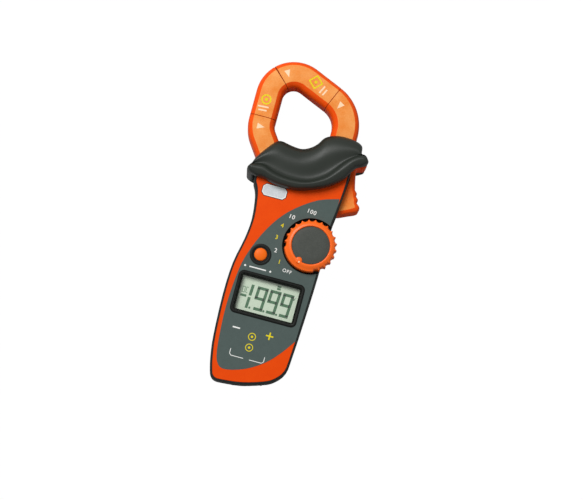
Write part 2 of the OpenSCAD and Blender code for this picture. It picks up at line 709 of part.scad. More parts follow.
module button_ring() in_frame() color("#1d1f1e") {
    difference() {
        post(button_at, button_ring_r, face_z - 0.3, face_z + 0.4);
        post(button_at, button_r + clear, face_z - past, face_z + past);
    }
}

module hold_button() in_frame() color("#e8641c") {
    dome = 1;
    crown = face_z + 1.5;
    flange = deck_under - clear;
    translate([button_at.x, button_at.y, 0]) rotate_extrude() polygon(concat(
        [[0, flange - 1], [button_r + 1, flange - 1], [button_r + 1, flange],
            [button_r, flange]],
        [for (i = [0:6]) [button_r * cos(15 * i), crown - dome + dome * sin(15 * i)]]));
}

module button_plunger() in_frame() color("#d8d8d2") {
    post(button_at, 1.4, board_top + 2.2, deck_under - clear - 1);
}

module button_switch() in_frame() color("#2a2a2a") {
    difference() {
        block(button_at, 6, 6, board_top, board_top + 3.4);
        post(button_at, 1.4 + run_gap, board_top + 2.2 - button_travel - clear, board_top + 4);
    }
}

// The dial: a cup with finger notches round all but the arc behind its pointer
module dial_knob() in_frame() color("#e8641c") {
    bottom = well_floor + clear;
    plain = 100 / 2;
    translate([dial_at.x, dial_at.y, 0]) difference() {
        rotate_extrude($fn = 96) polygon([[0, bottom], [dial_r - 0.4, bottom],
            [dial_r, bottom + 0.4], [dial_r, dial_z - 1.6], [dial_r - 0.35, dial_z - 0.6],
            [dial_r - 1.2, dial_z], [0, dial_z]]);
        for (k = [0:dial_steps - 1]) let (a = 360 * (k + 0.5) / dial_steps)
            if (min(a, 360 - a) > plain) rotate([0, 0, rest_angle + a])
                translate([dial_r - notch_depth + notch_r, 0, bottom - past])
                    cylinder(r = notch_r, h = dial_z);
        difference() {
            translate([0, 0, dial_z - 1]) cylinder(r = disc_r, h = 1 + past);
            rotate([0, 0, rest_angle]) pointer(0);
        }
        translate([0, 0, bottom - past]) cylinder(r = shaft_r + 0.02, h = 8 + past);
        end_gap = asin((stop_r + clear) / stop_at_r);
        rotate([0, 0, stop_angle - end_gap]) rotate_extrude(angle = dial_travel + 2 * end_gap)
            translate([stop_at_r - stop_r - clear, bottom - past])
                square([2 * (stop_r + clear), past + stop_h]);
    }
}

// The small tongue on the dial that points at a function
module pointer(gap) {
    translate([0, 0, dial_z - 2]) linear_extrude(2 + past)
        polygon(concat([[disc_r + 1, -2.2 - gap], [disc_r + 1, 2.2 + gap]],
            arc([disc_r - 1.6, 0], 1.7 + gap, 90, 270, 8)));
}

module dial_disc() in_frame() color("#4b4e4a") {
    translate([dial_at.x, dial_at.y, 0]) difference() {
        translate([0, 0, dial_z - 1]) cylinder(r = disc_r - seat, h = 0.8);
        rotate([0, 0, rest_angle]) translate([0, 0, -0.1]) pointer(seat);
    }
}

module dial_rotor() in_frame() color("#d9d9d4") {
    rotor_r = grip_right - wall - dial_at.x - 0.6;
    under = well_floor - wall;
    post(dial_at, rotor_r, board_top + 1.2, under - clear);
    post(dial_at, shaft_r, board_top + 1.2, well_floor + clear + 7.8);
}

module dial_wiper() in_frame() color("#c9a24a") {
    translate([dial_at.x, dial_at.y, board_top + clear]) {
        difference() {
            cylinder(r = 6, h = 1.2 - clear);
            translate([0, 0, -past]) cylinder(r = 4.4, h = 3);
        }
    }
}

module jack_sleeves() in_frame() color("#1c1e1d") {
    for (x = jack_places) translate([x, 0, jack_z]) rotate([-90, 0, 0]) difference() {
        union() {
            translate([0, 0, jack_mouth - 0.4])
                cylinder(r = sleeve_r, h = jack_depth + 3.4 - jack_mouth);
            translate([0, 0, jack_depth - 1.2]) cylinder(r = jack_well_r - seat, h = 1.2);
        }
        cylinder(r = jack_r + jack_wall + 0.02, h = jack_depth + 5);
    }
}

module jack_sockets() in_frame() color("#caa24a") {
    for (x = jack_places) translate([x, 0, jack_z]) rotate([-90, 0, 0]) difference() {
        union() {
            translate([0, 0, jack_mouth]) cylinder(r = jack_r + jack_wall, h = jack_end - jack_mouth);
            translate([0, 0, jack_end - 1.1]) cylinder(r = sleeve_r, h = 1.1);
        }
        cylinder(r = jack_r, h = jack_end - 1);
    }
}

module jaw_shell(line, inner, up) {
    skin([for (p = line) jaw_ring(p, jaw_half, inner, up)]);
}

module core_channel(line, w, t) {
    slab(ribbon(line, -w / 2, w / 2), jaw_z - t / 2, jaw_z + t / 2);
}

// A core's line: halfway between the shells' sections, so that no corner falls on their edges
function halfway(line) = concat([line[0]],
    [for (i = [0:len(line) - 2]) (line[i] + line[i + 1]) / 2], [line[len(line) - 1]]);
function longer(line) = let (a = line[0], b = line[len(line) - 1]) concat(
    [a - past * [cos(a[2]), sin(a[2]), 0, 0]], line,
    [b + past * [cos(b[2]), sin(b[2]), 0, 0]]);

// The straight stretch of the left arm that carries the coil
coil_y = (corner.y + lower_y) / 2 + coil_l / 2;
coil_line = [[arm_x, coil_y, 270], [arm_x, coil_y - coil_l, 270]];

module fixed_jaw_shell(up) {
    difference() {
        jaw_shell(fixed_line, 1, up);
        core_channel(halfway(longer(fixed_line)), core_w + 2 * seat, core_t + 2 * seat);
        core_channel(coil_line, coil_w + 2 * seat, coil_t + 2 * seat);
    }
}

module fixed_jaw_front_shell() in_frame() color("#f0863a") fixed_jaw_shell(1);

module fixed_jaw_rear_shell() in_frame() color("#f0863a") fixed_jaw_shell(-1);

module fixed_jaw_core() in_frame() color("#8b8f92")
    core_channel(halfway(fixed_line), core_w, core_t);

module fixed_jaw_coil() in_frame() color("#b4622d") {
    difference() {
        core_channel(coil_line, coil_w, coil_t);
        core_channel([[arm_x, coil_y + past, 270], [arm_x, coil_y - coil_l - past, 270]],
            core_w + seat, core_t + seat);
    }
}

// The moving jaw starts a hair past the seam, so that the two ends never overlap
seam_gap = 0.15;
moving_start = seam_angle - asin(seam_gap / corner_r);
moving_path = concat(turn(corner, corner_r, moving_start, 90 + run_angle, 12),
    [for (i = [13:len(moving_line) - 1]) moving_line[i]]);

module moving_jaw_shell(up) {
    difference() {
        jaw_shell(moving_path, -1, up);
        core_channel(halfway(longer(moving_path)), core_w + 2 * seat, core_t + 2 * seat);
    }
}

module moving_jaw_front_shell() in_frame() color("#f0863a") moving_jaw_shell(1);

module moving_jaw_rear_shell() in_frame() color("#f0863a") moving_jaw_shell(-1);

module moving_jaw_core() in_frame() color("#8b8f92") {
    line = halfway(moving_path);
    core_channel([for (i = [0:len(line) - 2]) line[i]], core_w, core_t);
}

// Outline of the lever: trigger, shoulder under the right ear, seat of the jaw, hub
lever_ribs = head([[grip_right + 11.7, -18.7], [grip_right + 9.4, -13.8],
    [grip_right + 8, -10.1]]);
lever_line = through(head([
    [grip_right - 1.3, -26.6], [grip_right + 3.1, -25.1], [grip_right + 8.1, -22.9],
    [grip_right + 11.3, -21.4], [grip_right + 12.7, -20.1], [grip_right + 12.5, -17.4],
    [grip_right + 10.3, -15], [grip_right + 9, -11.6], [grip_right + 7.8, -8.2],
    [grip_right + 6.5, -2.4], [grip_right + 5.7, 2.2], [grip_right + 6, 4],
    [grip_right + 7.5, 4.8], [grip_right + 9.7, 5.4], [grip_right + 11, 7.2],
    [grip_right + 10.5, 9.2], [grip_right + 8.3, 10], [grip_right + 4.7, 10]]), 3);
hub_r = 9.7;
hub_half = jaw_w / 2 - seat;
jaw_end_x = shoulder.x + shoulder_r;
hub_line = concat([[jaw_end_x + hub_half, moving_end_y - seat],
    [jaw_end_x - hub_half, moving_end_y - seat]],
    arc(pivot, hub_r, 165, 262, 12), head([[grip_right - 1.7, -12], [grip_right - 1.7, -23]]));

module trigger_lever() in_frame() color("#e8641c") {
    top = jaw_z + lever_t / 2;
    under = jaw_z - lever_t / 2;
    difference() {
        union() {
            slab(concat(lever_line, hub_line), under, top);
            for (p = lever_ribs) post(p, grip_r, under, top);
            block([jaw_end_x, moving_end_y + 3], core_w, 7,
                jaw_z - core_t / 2, jaw_z + core_t / 2);
        }
        post(pivot, pin_r + run_gap, under - past, top + past);
        post(pivot, 5.9, under - past, jaw_z - 2);
    }
}

module pivot_pin() in_frame() color("silver") post(pivot, pin_r, pin_bottom, pin_top);

module return_spring() in_frame() color("silver") {
    turns = 3.5;
    r = 4;
    pitch = 1.25 * spring_wire;
    z0 = bay_bottom + spring_wire / 2 + clear;
    wire([for (i = [0:42]) let (a = 360 * turns * i / 42)
        [pivot.x + r * cos(a), pivot.y + r * sin(a), z0 + turns * pitch * i / 42]],
        spring_wire / 2, [0, 0, 1]);
}

rear_cover();
front_cover();
face_plate();
function_label();
front_guard();
rear_guard();
battery_cover();
battery_cover_screw();
case_screws();
guard_screw();
battery_cell_left();
battery_cell_right();
battery_contacts();
battery_springs();
main_board();
board_screws();
meter_chip();
board_resistors();
buzzer();
lcd_bezel();
lcd_pane();
lcd_cell();
lcd_holder();
lcd_rubber_strips();
button_ring();
hold_button();
button_plunger();
button_switch();
dial_knob();
dial_disc();
dial_rotor();
dial_wiper();
jack_sleeves();
jack_sockets();
fixed_jaw_front_shell();
fixed_jaw_rear_shell();
fixed_jaw_core();
fixed_jaw_coil();
moving_jaw_front_shell();
moving_jaw_rear_shell();
moving_jaw_core();
trigger_lever();
pivot_pin();
return_spring();
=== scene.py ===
"""Looks of the clamp meter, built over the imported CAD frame.

Sizes are in millimetres. Places are those of the part's plan: x from the middle of the grip,
y from its bottom end, z above the floor. world() brings them into the row's frame in metres.
"""

import json
from math import asin, atan2, cos, degrees, pi, radians, sin, sqrt

import bpy
from mathutils import Matrix, Vector
from mathutils.bvhtree import BVHTree
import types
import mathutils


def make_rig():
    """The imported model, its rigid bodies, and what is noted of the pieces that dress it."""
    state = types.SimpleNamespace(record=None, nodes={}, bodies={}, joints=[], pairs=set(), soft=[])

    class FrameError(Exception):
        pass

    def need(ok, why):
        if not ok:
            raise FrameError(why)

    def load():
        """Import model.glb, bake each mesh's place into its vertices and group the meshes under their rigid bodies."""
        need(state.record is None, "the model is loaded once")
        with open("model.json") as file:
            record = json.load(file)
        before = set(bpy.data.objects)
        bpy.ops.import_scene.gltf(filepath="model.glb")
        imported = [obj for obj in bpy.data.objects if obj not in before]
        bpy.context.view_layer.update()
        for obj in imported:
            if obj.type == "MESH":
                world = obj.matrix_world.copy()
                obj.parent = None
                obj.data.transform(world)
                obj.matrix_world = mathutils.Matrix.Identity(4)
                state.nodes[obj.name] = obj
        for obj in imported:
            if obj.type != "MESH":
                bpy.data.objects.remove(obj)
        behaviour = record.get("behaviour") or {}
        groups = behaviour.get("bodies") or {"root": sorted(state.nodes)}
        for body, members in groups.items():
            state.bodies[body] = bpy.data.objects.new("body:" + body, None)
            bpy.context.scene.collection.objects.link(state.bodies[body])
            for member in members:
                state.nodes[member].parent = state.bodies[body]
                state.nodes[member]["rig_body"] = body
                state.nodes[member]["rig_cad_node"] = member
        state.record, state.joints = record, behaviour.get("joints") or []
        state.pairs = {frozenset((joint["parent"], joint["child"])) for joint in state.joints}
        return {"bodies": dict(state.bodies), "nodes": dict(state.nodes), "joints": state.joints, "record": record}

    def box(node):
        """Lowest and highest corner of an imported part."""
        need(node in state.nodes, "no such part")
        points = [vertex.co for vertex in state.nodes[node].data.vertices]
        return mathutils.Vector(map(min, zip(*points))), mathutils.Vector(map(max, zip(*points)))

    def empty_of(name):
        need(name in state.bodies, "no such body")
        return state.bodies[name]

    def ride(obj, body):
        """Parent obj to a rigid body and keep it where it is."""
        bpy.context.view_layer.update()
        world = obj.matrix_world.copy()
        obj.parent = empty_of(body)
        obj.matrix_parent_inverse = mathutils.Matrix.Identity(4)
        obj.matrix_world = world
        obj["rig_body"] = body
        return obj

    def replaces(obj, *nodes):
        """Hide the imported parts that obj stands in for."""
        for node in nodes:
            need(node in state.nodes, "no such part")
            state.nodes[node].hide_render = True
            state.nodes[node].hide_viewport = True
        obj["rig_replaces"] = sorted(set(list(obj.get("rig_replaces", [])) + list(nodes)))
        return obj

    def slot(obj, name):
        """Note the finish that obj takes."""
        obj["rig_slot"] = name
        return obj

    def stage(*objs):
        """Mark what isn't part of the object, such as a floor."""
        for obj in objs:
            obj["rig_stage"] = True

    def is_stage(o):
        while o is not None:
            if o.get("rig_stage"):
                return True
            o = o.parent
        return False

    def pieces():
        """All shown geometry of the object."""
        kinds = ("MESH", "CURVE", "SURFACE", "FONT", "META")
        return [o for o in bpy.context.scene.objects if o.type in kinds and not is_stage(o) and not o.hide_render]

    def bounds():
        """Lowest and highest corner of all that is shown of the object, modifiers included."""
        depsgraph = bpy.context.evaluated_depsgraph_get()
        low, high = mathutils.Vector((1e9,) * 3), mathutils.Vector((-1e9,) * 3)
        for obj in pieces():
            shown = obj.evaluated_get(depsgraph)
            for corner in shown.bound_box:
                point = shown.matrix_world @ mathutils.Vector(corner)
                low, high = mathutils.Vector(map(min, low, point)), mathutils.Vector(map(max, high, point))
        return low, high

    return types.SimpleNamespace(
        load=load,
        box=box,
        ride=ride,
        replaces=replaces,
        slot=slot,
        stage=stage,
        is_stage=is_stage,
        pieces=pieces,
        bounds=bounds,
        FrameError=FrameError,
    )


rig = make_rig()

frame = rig.load()
cad_low, cad_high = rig.bounds()
MM = 0.001
MIDDLE = (cad_high.y - cad_low.y) / 2 / MM  # the plan's y at the row's origin

# ---------------- image points
W, H = 583, 500
LONG = max(W, H)
POINTS = {
    "left_edge": (209, None),
    "right_edge": (368, None),
    "top_edge": (None, 63),
    "bottom_edge": (None, 384),
    "dial": (310.9, 245.2),
    "button": (260.3, 254.3),
    "display": (267.5, 298.6),
    "badge": (274.5, 191.7),
    "off_mark": (286.9, 271.5),
    "last_mark": (311.7, 212.1),
    "button_mark": (257.7, 268.4),
    "minus_mark": (236.4, 327.4),
    "plus_mark": (269.6, 336.3),
    "port_mark": (252.0, 336.8),
    "bracket": (246.9, 356.0),
    "left_triangle": (260.3, 126.3),
    "top_triangle": (288.0, 73.1),
    "right_triangle": (340.2, 105.6),
    "arm_mark": (266.4, 99.4),
    "top_mark": (316.0, 82.2),
}

# ---------------- camera
TILT = radians(7.5)
ROLL = radians(15)
AIM = (6.5, 85.2, 31)
DISTANCE = 949
LENS = 100
SENSOR = 36


def world(p):
    """A place of the plan in the row's frame."""
    return Vector((p[0], p[1] - MIDDLE, p[2])) * MM


def placed(name, data):
    """A new object of the scene."""
    made = bpy.data.objects.new(name, data)
    bpy.context.scene.collection.objects.link(made)
    return made


camera_data = bpy.data.cameras.new("camera")
camera_data.lens = LENS
camera_data.sensor_width = SENSOR
camera_data.sensor_fit = "AUTO"
camera_data.clip_start = 0.05
camera_data.clip_end = 20
camera = placed("camera", camera_data)
camera.matrix_world = (Matrix.Translation(world(AIM)) @ Matrix.Rotation(TILT, 4, "X")
                       @ Matrix.Rotation(ROLL, 4, "Z")
                       @ Matrix.Translation((0, 0, DISTANCE * MM)))
bpy.context.scene.camera = camera
bpy.context.view_layer.update()


def ray(name):
    """The line of sight through a named image point."""
    x, y = POINTS[name]
    along = Vector((x - W / 2 + camera_data.shift_x * LONG, H / 2 - y + camera_data.shift_y * LONG,
                    -LONG * LENS / SENSOR))
    return camera.matrix_world.translation, (camera.matrix_world.to_3x3() @ along).normalized()


def pixel(p):
    """Where a place of the scene shows in the photograph's frame."""
    q = camera.matrix_world.inverted() @ p
    scale = LONG * LENS / SENSOR / -q.z
    return (W / 2 + q.x * scale - camera_data.shift_x * LONG,
            H / 2 - q.y * scale + camera_data.shift_y * LONG)


def finished(piece):
    """The placed vertices and the faces of a piece, modifiers included."""
    shape = piece.evaluated_get(bpy.context.evaluated_depsgraph_get())
    mesh = shape.to_mesh()
    verts = [piece.matrix_world @ v.co for v in mesh.vertices]
    faces = [list(f.vertices) for f in mesh.polygons]
    shape.to_mesh_clear()
    return verts, faces


def meet(name, carrier):
    """The place on the carrier under a named image point, or the place nearest its ray."""
    start, along = ray(name)
    tree = BVHTree.FromPolygons(*finished(carrier))
    hit = tree.ray_cast(start, along)[0]
    if hit is None:
        shares = [0.9 + 0.002 * k for k in range(100)]  # of the way to the camera's aim
        tries = [tree.find_nearest(start + along * DISTANCE * MM * s) for s in shares]
        hit = min(tries, key=lambda found: found[3])[0]
    return hit


# ---------------- materials
def paint(red, green, blue):
    """A colour as seen on screen, 0 to 255, as linear light."""
    def linear(v):
        v /= 255
        return v / 12.92 if v <= 0.04045 else ((v + 0.055) / 1.055) ** 2.4
    return linear(red), linear(green), linear(blue), 1


# Parts of their range from 0 to 1 that the noises really fill
FINE_FILLS = (0.25, 0.75)
BROAD_FILLS = (0.4, 0.6)
GLOSS_FOLLOWS = (0.3, 0.7)


def surface(name, colour, other, grain, mottle, rough, bump, specular=0.22, more=()):
    """A procedural material: fine grain and broad mottling between two colours, roughness that
    follows the grain, and a bump. grain, mottle and bump are in millimetres. more sets the rare
    values; of these, broad is the mottling's weight beside the grain's."""
    rare = {"metal": 0, "stretch": (1, 1, 1), "coat": 0, "coat_rough": 0.12, "broad": 0.5}
    rare.update(more)
    broad = rare["broad"]
    made = bpy.data.materials.new(name)
    made.use_nodes = True
    nodes, links = made.node_tree.nodes, made.node_tree.links
    shader = nodes["Principled BSDF"]
    shader.inputs["Metallic"].default_value = rare["metal"]
    shader.inputs["Coat Weight"].default_value = rare["coat"]
    shader.inputs["Coat Roughness"].default_value = rare["coat_rough"]
    shader.inputs["Specular IOR Level"].default_value = specular
    where = nodes.new("ShaderNodeTexCoord")
    scaled = nodes.new("ShaderNodeMapping")
    scaled.inputs["Scale"].default_value = rare["stretch"]
    links.new(where.outputs["Object"], scaled.inputs["Vector"])

    def noise(size, detail):
        texture = nodes.new("ShaderNodeTexNoise")
        texture.inputs["Scale"].default_value = 1 / (size * MM)
        texture.inputs["Detail"].default_value = detail
        links.new(scaled.outputs["Vector"], texture.inputs["Vector"])
        return texture.outputs["Fac"]

    fine, wide = noise(grain, detail=3), noise(mottle, detail=2)
    both = nodes.new("ShaderNodeMath")
    both.operation = "MULTIPLY_ADD"
    links.new(wide, both.inputs[0])
    both.inputs[1].default_value = broad
    links.new(fine, both.inputs[2])
    ramp = nodes.new("ShaderNodeValToRGB")
    for k, shade in enumerate((colour, other)):
        stop = ramp.color_ramp.elements[k]
        stop.position = (FINE_FILLS[k] + BROAD_FILLS[k] * broad) / (1 + broad)
        stop.color = shade
    halved = nodes.new("ShaderNodeMath")
    halved.operation = "DIVIDE"
    halved.inputs[1].default_value = 1 + broad
    links.new(both.outputs[0], halved.inputs[0])
    links.new(halved.outputs[0], ramp.inputs["Fac"])
    links.new(ramp.outputs["Color"], shader.inputs["Base Color"])
    gloss = nodes.new("ShaderNodeMapRange")
    for k, end in enumerate(("Min", "Max")):
        gloss.inputs["From " + end].default_value = GLOSS_FOLLOWS[k]
        gloss.inputs["To " + end].default_value = rough[k]
    links.new(fine, gloss.inputs["Value"])
    links.new(gloss.outputs["Result"], shader.inputs["Roughness"])
    raised = nodes.new("ShaderNodeBump")
    raised.inputs["Distance"].default_value = bump * MM
    links.new(fine, raised.inputs["Height"])
    links.new(raised.outputs["Normal"], shader.inputs["Normal"])
    return made


# Colour, second colour, grain, mottle, roughness from and to, bump, specular, and what else
LOOKS = {
    "orange_plate": ((236, 78, 6), (226, 68, 2), 0.35, 6, (0.4, 0.52), 0.006, 0.06),
    # jaw_face and trigger_face: the flat faces' paler peach is partly their matte grain and partly painted light, the
    # lit look beside jaw_edge's fuller orange
    "jaw_face": ((243, 163, 91), (232, 131, 50), 0.55, 9, (0.5, 0.65), 0.03, 0.08,
        dict(broad=1.6)),
    "trigger_face": ((252, 166, 92), (242, 136, 54), 0.55, 9, (0.5, 0.65), 0.03, 0.08,
        dict(broad=1.6)),
    "jaw_edge": ((244, 88, 12), (232, 72, 4), 0.5, 6, (0.34, 0.45), 0.01, 0.12),
    "jaw_seam": ((190, 76, 26), (160, 58, 16), 0.4, 6, (0.6, 0.7), 0.01, 0.05),
    "knob_orange": ((252, 108, 10), (244, 96, 5), 0.4, 6, (0.34, 0.42), 0.006, 0.06,
        dict(coat=0.6, coat_rough=0.34)),
    "button_orange": ((244, 112, 20), (236, 100, 12), 0.4, 6, (0.4, 0.5), 0.008, 0.15),
    "guard_rubber": ((31, 37, 30), (24, 29, 24), 0.3, 9, (0.36, 0.44), 0.012, 0.28),
    "case_dark": ((31, 35, 33), (23, 26, 25), 0.45, 9, (0.45, 0.6), 0.02, 0.15),
    "grey_label": ((82, 95, 92), (74, 86, 83), 0.3, 3, (0.5, 0.6), 0.008, 0.08),
    "dial_grey": ((78, 81, 76), (64, 67, 63), 0.35, 3, (0.5, 0.62), 0.02, 0.12),
    "black_trim": ((20, 22, 20), (13, 15, 13), 0.4, 6, (0.4, 0.5), 0.008, 0.12),
    "lcd_green": ((208, 223, 201), (201, 216, 194), 1.2, 12, (0.35, 0.5), 0.002, 0.1),
    "lcd_ink": ((62, 108, 74), (54, 98, 66), 0.6, 6, (0.4, 0.5), 0.001, 0.1),
    "lcd_ghost": ((110, 144, 112), (100, 134, 104), 0.6, 6, (0.4, 0.5), 0.001, 0.1),
    "print_white": ((246, 246, 242), (222, 224, 220), 0.25, 6, (0.5, 0.6), 0.004, 0.1),
    "print_yellow": ((240, 222, 30), (214, 196, 24), 0.25, 6, (0.5, 0.6), 0.004, 0.1),
    "print_pale": ((255, 222, 188), (252, 206, 164), 0.25, 6, (0.5, 0.6), 0.004, 0.1),
    "badge_plate": ((212, 217, 220), (186, 192, 196), 0.5, 5, (0.35, 0.45), 0.004, 0.2),
    "steel": ((190, 192, 194), (150, 152, 156), 0.2, 6, (0.22, 0.4), 0.01, 0.22,
        dict(stretch=(1, 6, 1), metal=1)),
    "core_steel": ((128, 130, 134), (80, 82, 86), 0.35, 6, (0.35, 0.55), 0.06, 0.22,
        dict(stretch=(0.05, 0.05, 1), metal=1)),
    "brass": ((214, 170, 88), (186, 140, 62), 0.2, 6, (0.2, 0.36), 0.008, 0.22,
        dict(stretch=(1, 5, 1), metal=1)),
    "copper": ((196, 108, 58), (140, 66, 30), 0.3, 6, (0.25, 0.45), 0.08, 0.22,
        dict(stretch=(0.05, 1, 0.05), metal=1)),
    "board": ((40, 104, 56), (30, 82, 44), 0.9, 4, (0.35, 0.5), 0.02, 0.22, dict(coat=0.2)),
    "white_plastic": ((226, 226, 220), (208, 208, 202), 0.4, 6, (0.4, 0.55), 0.01, 0.22),
    "black_rubber": ((38, 38, 40), (26, 26, 28), 0.3, 6, (0.6, 0.8), 0.02, 0.22),
    "chip_black": ((34, 35, 37), (24, 25, 27), 0.25, 6, (0.5, 0.7), 0.015, 0.22),
    "resistor_tan": ((196, 172, 130), (176, 150, 106), 0.4, 6, (0.4, 0.5), 0.01, 0.22),
    "cell_wrap": ((58, 84, 128), (44, 66, 104), 0.6, 6, (0.25, 0.38), 0.004, 0.22,
        dict(stretch=(1, 0.3, 1), coat=0.3)),
}
MATERIALS = {name: surface(name, paint(*colour), paint(*other), *look)
             for name, (colour, other, *look) in LOOKS.items()}

PANE_ALPHA = 0.05


def clear_pane():
    """A thin clear window: mostly see-through, with the gloss of its surface."""
    made = surface("clear_pane", paint(214, 224, 214), paint(206, 216, 206), grain=8, mottle=6,
                   rough=(0.06, 0.1), bump=0.0005)
    made.node_tree.nodes["Principled BSDF"].inputs["Alpha"].default_value = PANE_ALPHA
    return made


def blended(made, colour):
    """Lays a second colour over a material's own; the last value is the socket of its share."""
    nodes, links = made.node_tree.nodes, made.node_tree.links
    base = nodes["Principled BSDF"].inputs["Base Color"]
    blend = nodes.new("ShaderNodeMix")
    blend.data_type = "RGBA"
    blend.inputs["B"].default_value = colour
    links.new(base.links[0].from_socket, blend.inputs["A"])
    links.new(blend.outputs["Result"], base)
    return nodes, links, blend.inputs["Factor"]


def dark_sides(made, colour):
    """Gives a sheet's cut edges, which stand upright, a dark colour: painted shade, as in the dial's well."""
    nodes, links, share = blended(made, colour)
    facing = nodes.new("ShaderNodeNewGeometry")
    split = nodes.new("ShaderNodeSeparateXYZ")
    upright = nodes.new("ShaderNodeMapRange")
    upright.inputs["From Min"].default_value = 0.5  # the normal's z, where the painted shade begins
    upright.inputs["From Max"].default_value = 0.25  # and where it is full
    links.new(facing.outputs["True Normal"], split.inputs[0])
    links.new(split.outputs["Z"], upright.inputs["Value"])
    links.new(upright.outputs["Result"], share)


def redder_towards(made, colour, start, end):
    """Fades a face into a fuller colour between two places of the plan: painted shade, redder where the face lies in
    shadow.
    """
    nodes, links, share = blended(made, colour)
    where = nodes.new("ShaderNodeTexCoord")
    start, end = world((*start, 0)), world((*end, 0))
    run = end - start
    along = nodes.new("ShaderNodeVectorMath")
    along.operation = "DOT_PRODUCT"
    along.inputs[1].default_value = run / run.length_squared
    fade = nodes.new("ShaderNodeMapRange")
    fade.interpolation_type = "SMOOTHSTEP"
    fade.inputs["From Min"].default_value = start.dot(run) / run.length_squared
    fade.inputs["From Max"].default_value = end.dot(run) / run.length_squared
    links.new(where.outputs["Object"], along.inputs[0])
    links.new(along.outputs["Value"], fade.inputs["Value"])
    links.new(fade.outputs["Result"], share)


# Painted shade: the plate's upright cut edges, as round the dial's well, are coloured near black
dark_sides(MATERIALS["orange_plate"], paint(24, 22, 20))
# Painted shade on the trigger: its face turns a redder orange under the guard and the case, where their shadow falls
TRIGGER_SHADE_FADE = ((34.5, 119), (25.5, 130))  # painted shade: from near the tip to where the case hides the face and its shadow falls
redder_towards(MATERIALS["trigger_face"], paint(252, 98, 26), *TRIGGER_SHADE_FADE)
MATERIALS["clear_pane"] = clear_pane()

# ---------------- CAD nodes that stay
STAYS = {
    "orange_plate": ["face_plate"],
    "grey_label": ["function_label"],
    "case_dark": ["rear_cover", "front_cover", "battery_cover"],
    "black_trim": ["jack_sleeves"],
    "clear_pane": ["lcd_pane"],
    "lcd_green": ["lcd_cell"],
    "button_orange": ["hold_button"],
    "steel": ["battery_cover_screw", "case_screws", "guard_screw", "battery_contacts",
              "battery_springs", "board_screws", "pivot_pin", "return_spring"],
    "core_steel": ["fixed_jaw_core", "moving_jaw_core"],
    "brass": ["jack_sockets", "dial_wiper"],
    "copper": ["fixed_jaw_coil"],
    "board": ["main_board"],
    "white_plastic": ["lcd_holder", "button_plunger", "dial_rotor"],
    "black_rubber": ["lcd_rubber_strips"],
    "chip_black": ["meter_chip", "buzzer", "button_switch"],
    "resistor_tan": ["board_resistors"],
    "cell_wrap": ["battery_cell_left", "battery_cell_right"],
}
SMOOTH_ANGLE, EDGE_ANGLE = radians(32), radians(40)
WELD = 1e-6  # metres
ROUNDED_EDGES = {"face_plate": 0.3, "battery_cover": 0.25, "jack_sleeves": 0.2,
                 "case_screws": 0.08, "battery_cover_screw": 0.08, "guard_screw": 0.08,
                 "meter_chip": 0.12, "lcd_holder": 0.2, "buzzer": 0.2, "button_switch": 0.15}


def smoothing():
    """A node group that joins a CAD node's faces and shades them smooth up to SMOOTH_ANGLE."""
    group = bpy.data.node_groups.new("smooth_faces", "GeometryNodeTree")
    for way in ("INPUT", "OUTPUT"):
        group.interface.new_socket("Geometry", in_out=way, socket_type="NodeSocketGeometry")
    nodes, links = group.nodes, group.links
    first, last = nodes.new("NodeGroupInput"), nodes.new("NodeGroupOutput")
    joined = nodes.new("GeometryNodeMergeByDistance")
    joined.inputs["Distance"].default_value = WELD
    plain = nodes.new("GeometryNodeRemoveAttribute")
    plain.inputs["Name"].default_value = "custom_normal"
    soft = nodes.new("GeometryNodeSetShadeSmooth")
    sharp = nodes.new("GeometryNodeSetShadeSmooth")
    sharp.domain = "EDGE"
    sharp.inputs["Shade Smooth"].default_value = False
    bend = nodes.new("GeometryNodeInputMeshEdgeAngle")
    over = nodes.new("FunctionNodeCompare")
    over.inputs["B"].default_value = SMOOTH_ANGLE
    links.new(bend.outputs["Unsigned Angle"], over.inputs["A"])
    links.new(over.outputs["Result"], sharp.inputs["Selection"])
    steps = [first, joined, plain, soft, sharp, last]
    for a, b in zip(steps, steps[1:]):
        links.new(a.outputs["Geometry"], b.inputs["Geometry"])
    return group


smooth_group = smoothing()
nodes_of = frame["nodes"]
for name, stays in STAYS.items():
    for node in stays:
        piece = nodes_of[node]
        piece.data.materials.clear()
        piece.data.materials.append(MATERIALS[name])
        piece.modifiers.new("smooth", "NODES").node_group = smooth_group
        if node in ROUNDED_EDGES:
            edge = piece.modifiers.new("edges", "BEVEL")
            edge.width = ROUNDED_EDGES[node] * MM
            edge.segments = 2
            edge.limit_method = "ANGLE"
            edge.angle_limit = EDGE_ANGLE
            edge.harden_normals = False


# ---------------- making pieces
def build(name, verts, faces, materials, body, stands_for=(), slot=None, bands=None, soft=35):
    """A mesh piece in plan millimetres that rides on a body."""
    mesh = bpy.data.meshes.new(name)
    mesh.from_pydata([world(v) for v in verts], [], faces)
    for m in materials:
        mesh.materials.append(MATERIALS[m])
    if bands:
        mesh.polygons.foreach_set("material_index", bands)
    mesh.shade_smooth()
    mesh.set_sharp_from_angle(angle=radians(soft))
    piece = placed(name, mesh)
    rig.ride(piece, body)
    if stands_for:
        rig.replaces(piece, *stands_for)
    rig.slot(piece, slot or materials[0])
    return piece


def skin(rings, caps=True):
    """Vertices and faces of a closed skin through rings of equal length."""
    n = len(rings[0])
    verts = [p for ring in rings for p in ring]
    faces = [[j * n + i, j * n + (i + 1) % n, (j + 1) * n + (i + 1) % n, (j + 1) * n + i]
             for j in range(len(rings) - 1) for i in range(n)]
    if caps:
        faces.append(list(range(n))[::-1])
        faces.append([len(verts) - n + i for i in range(n)])
    return verts, faces


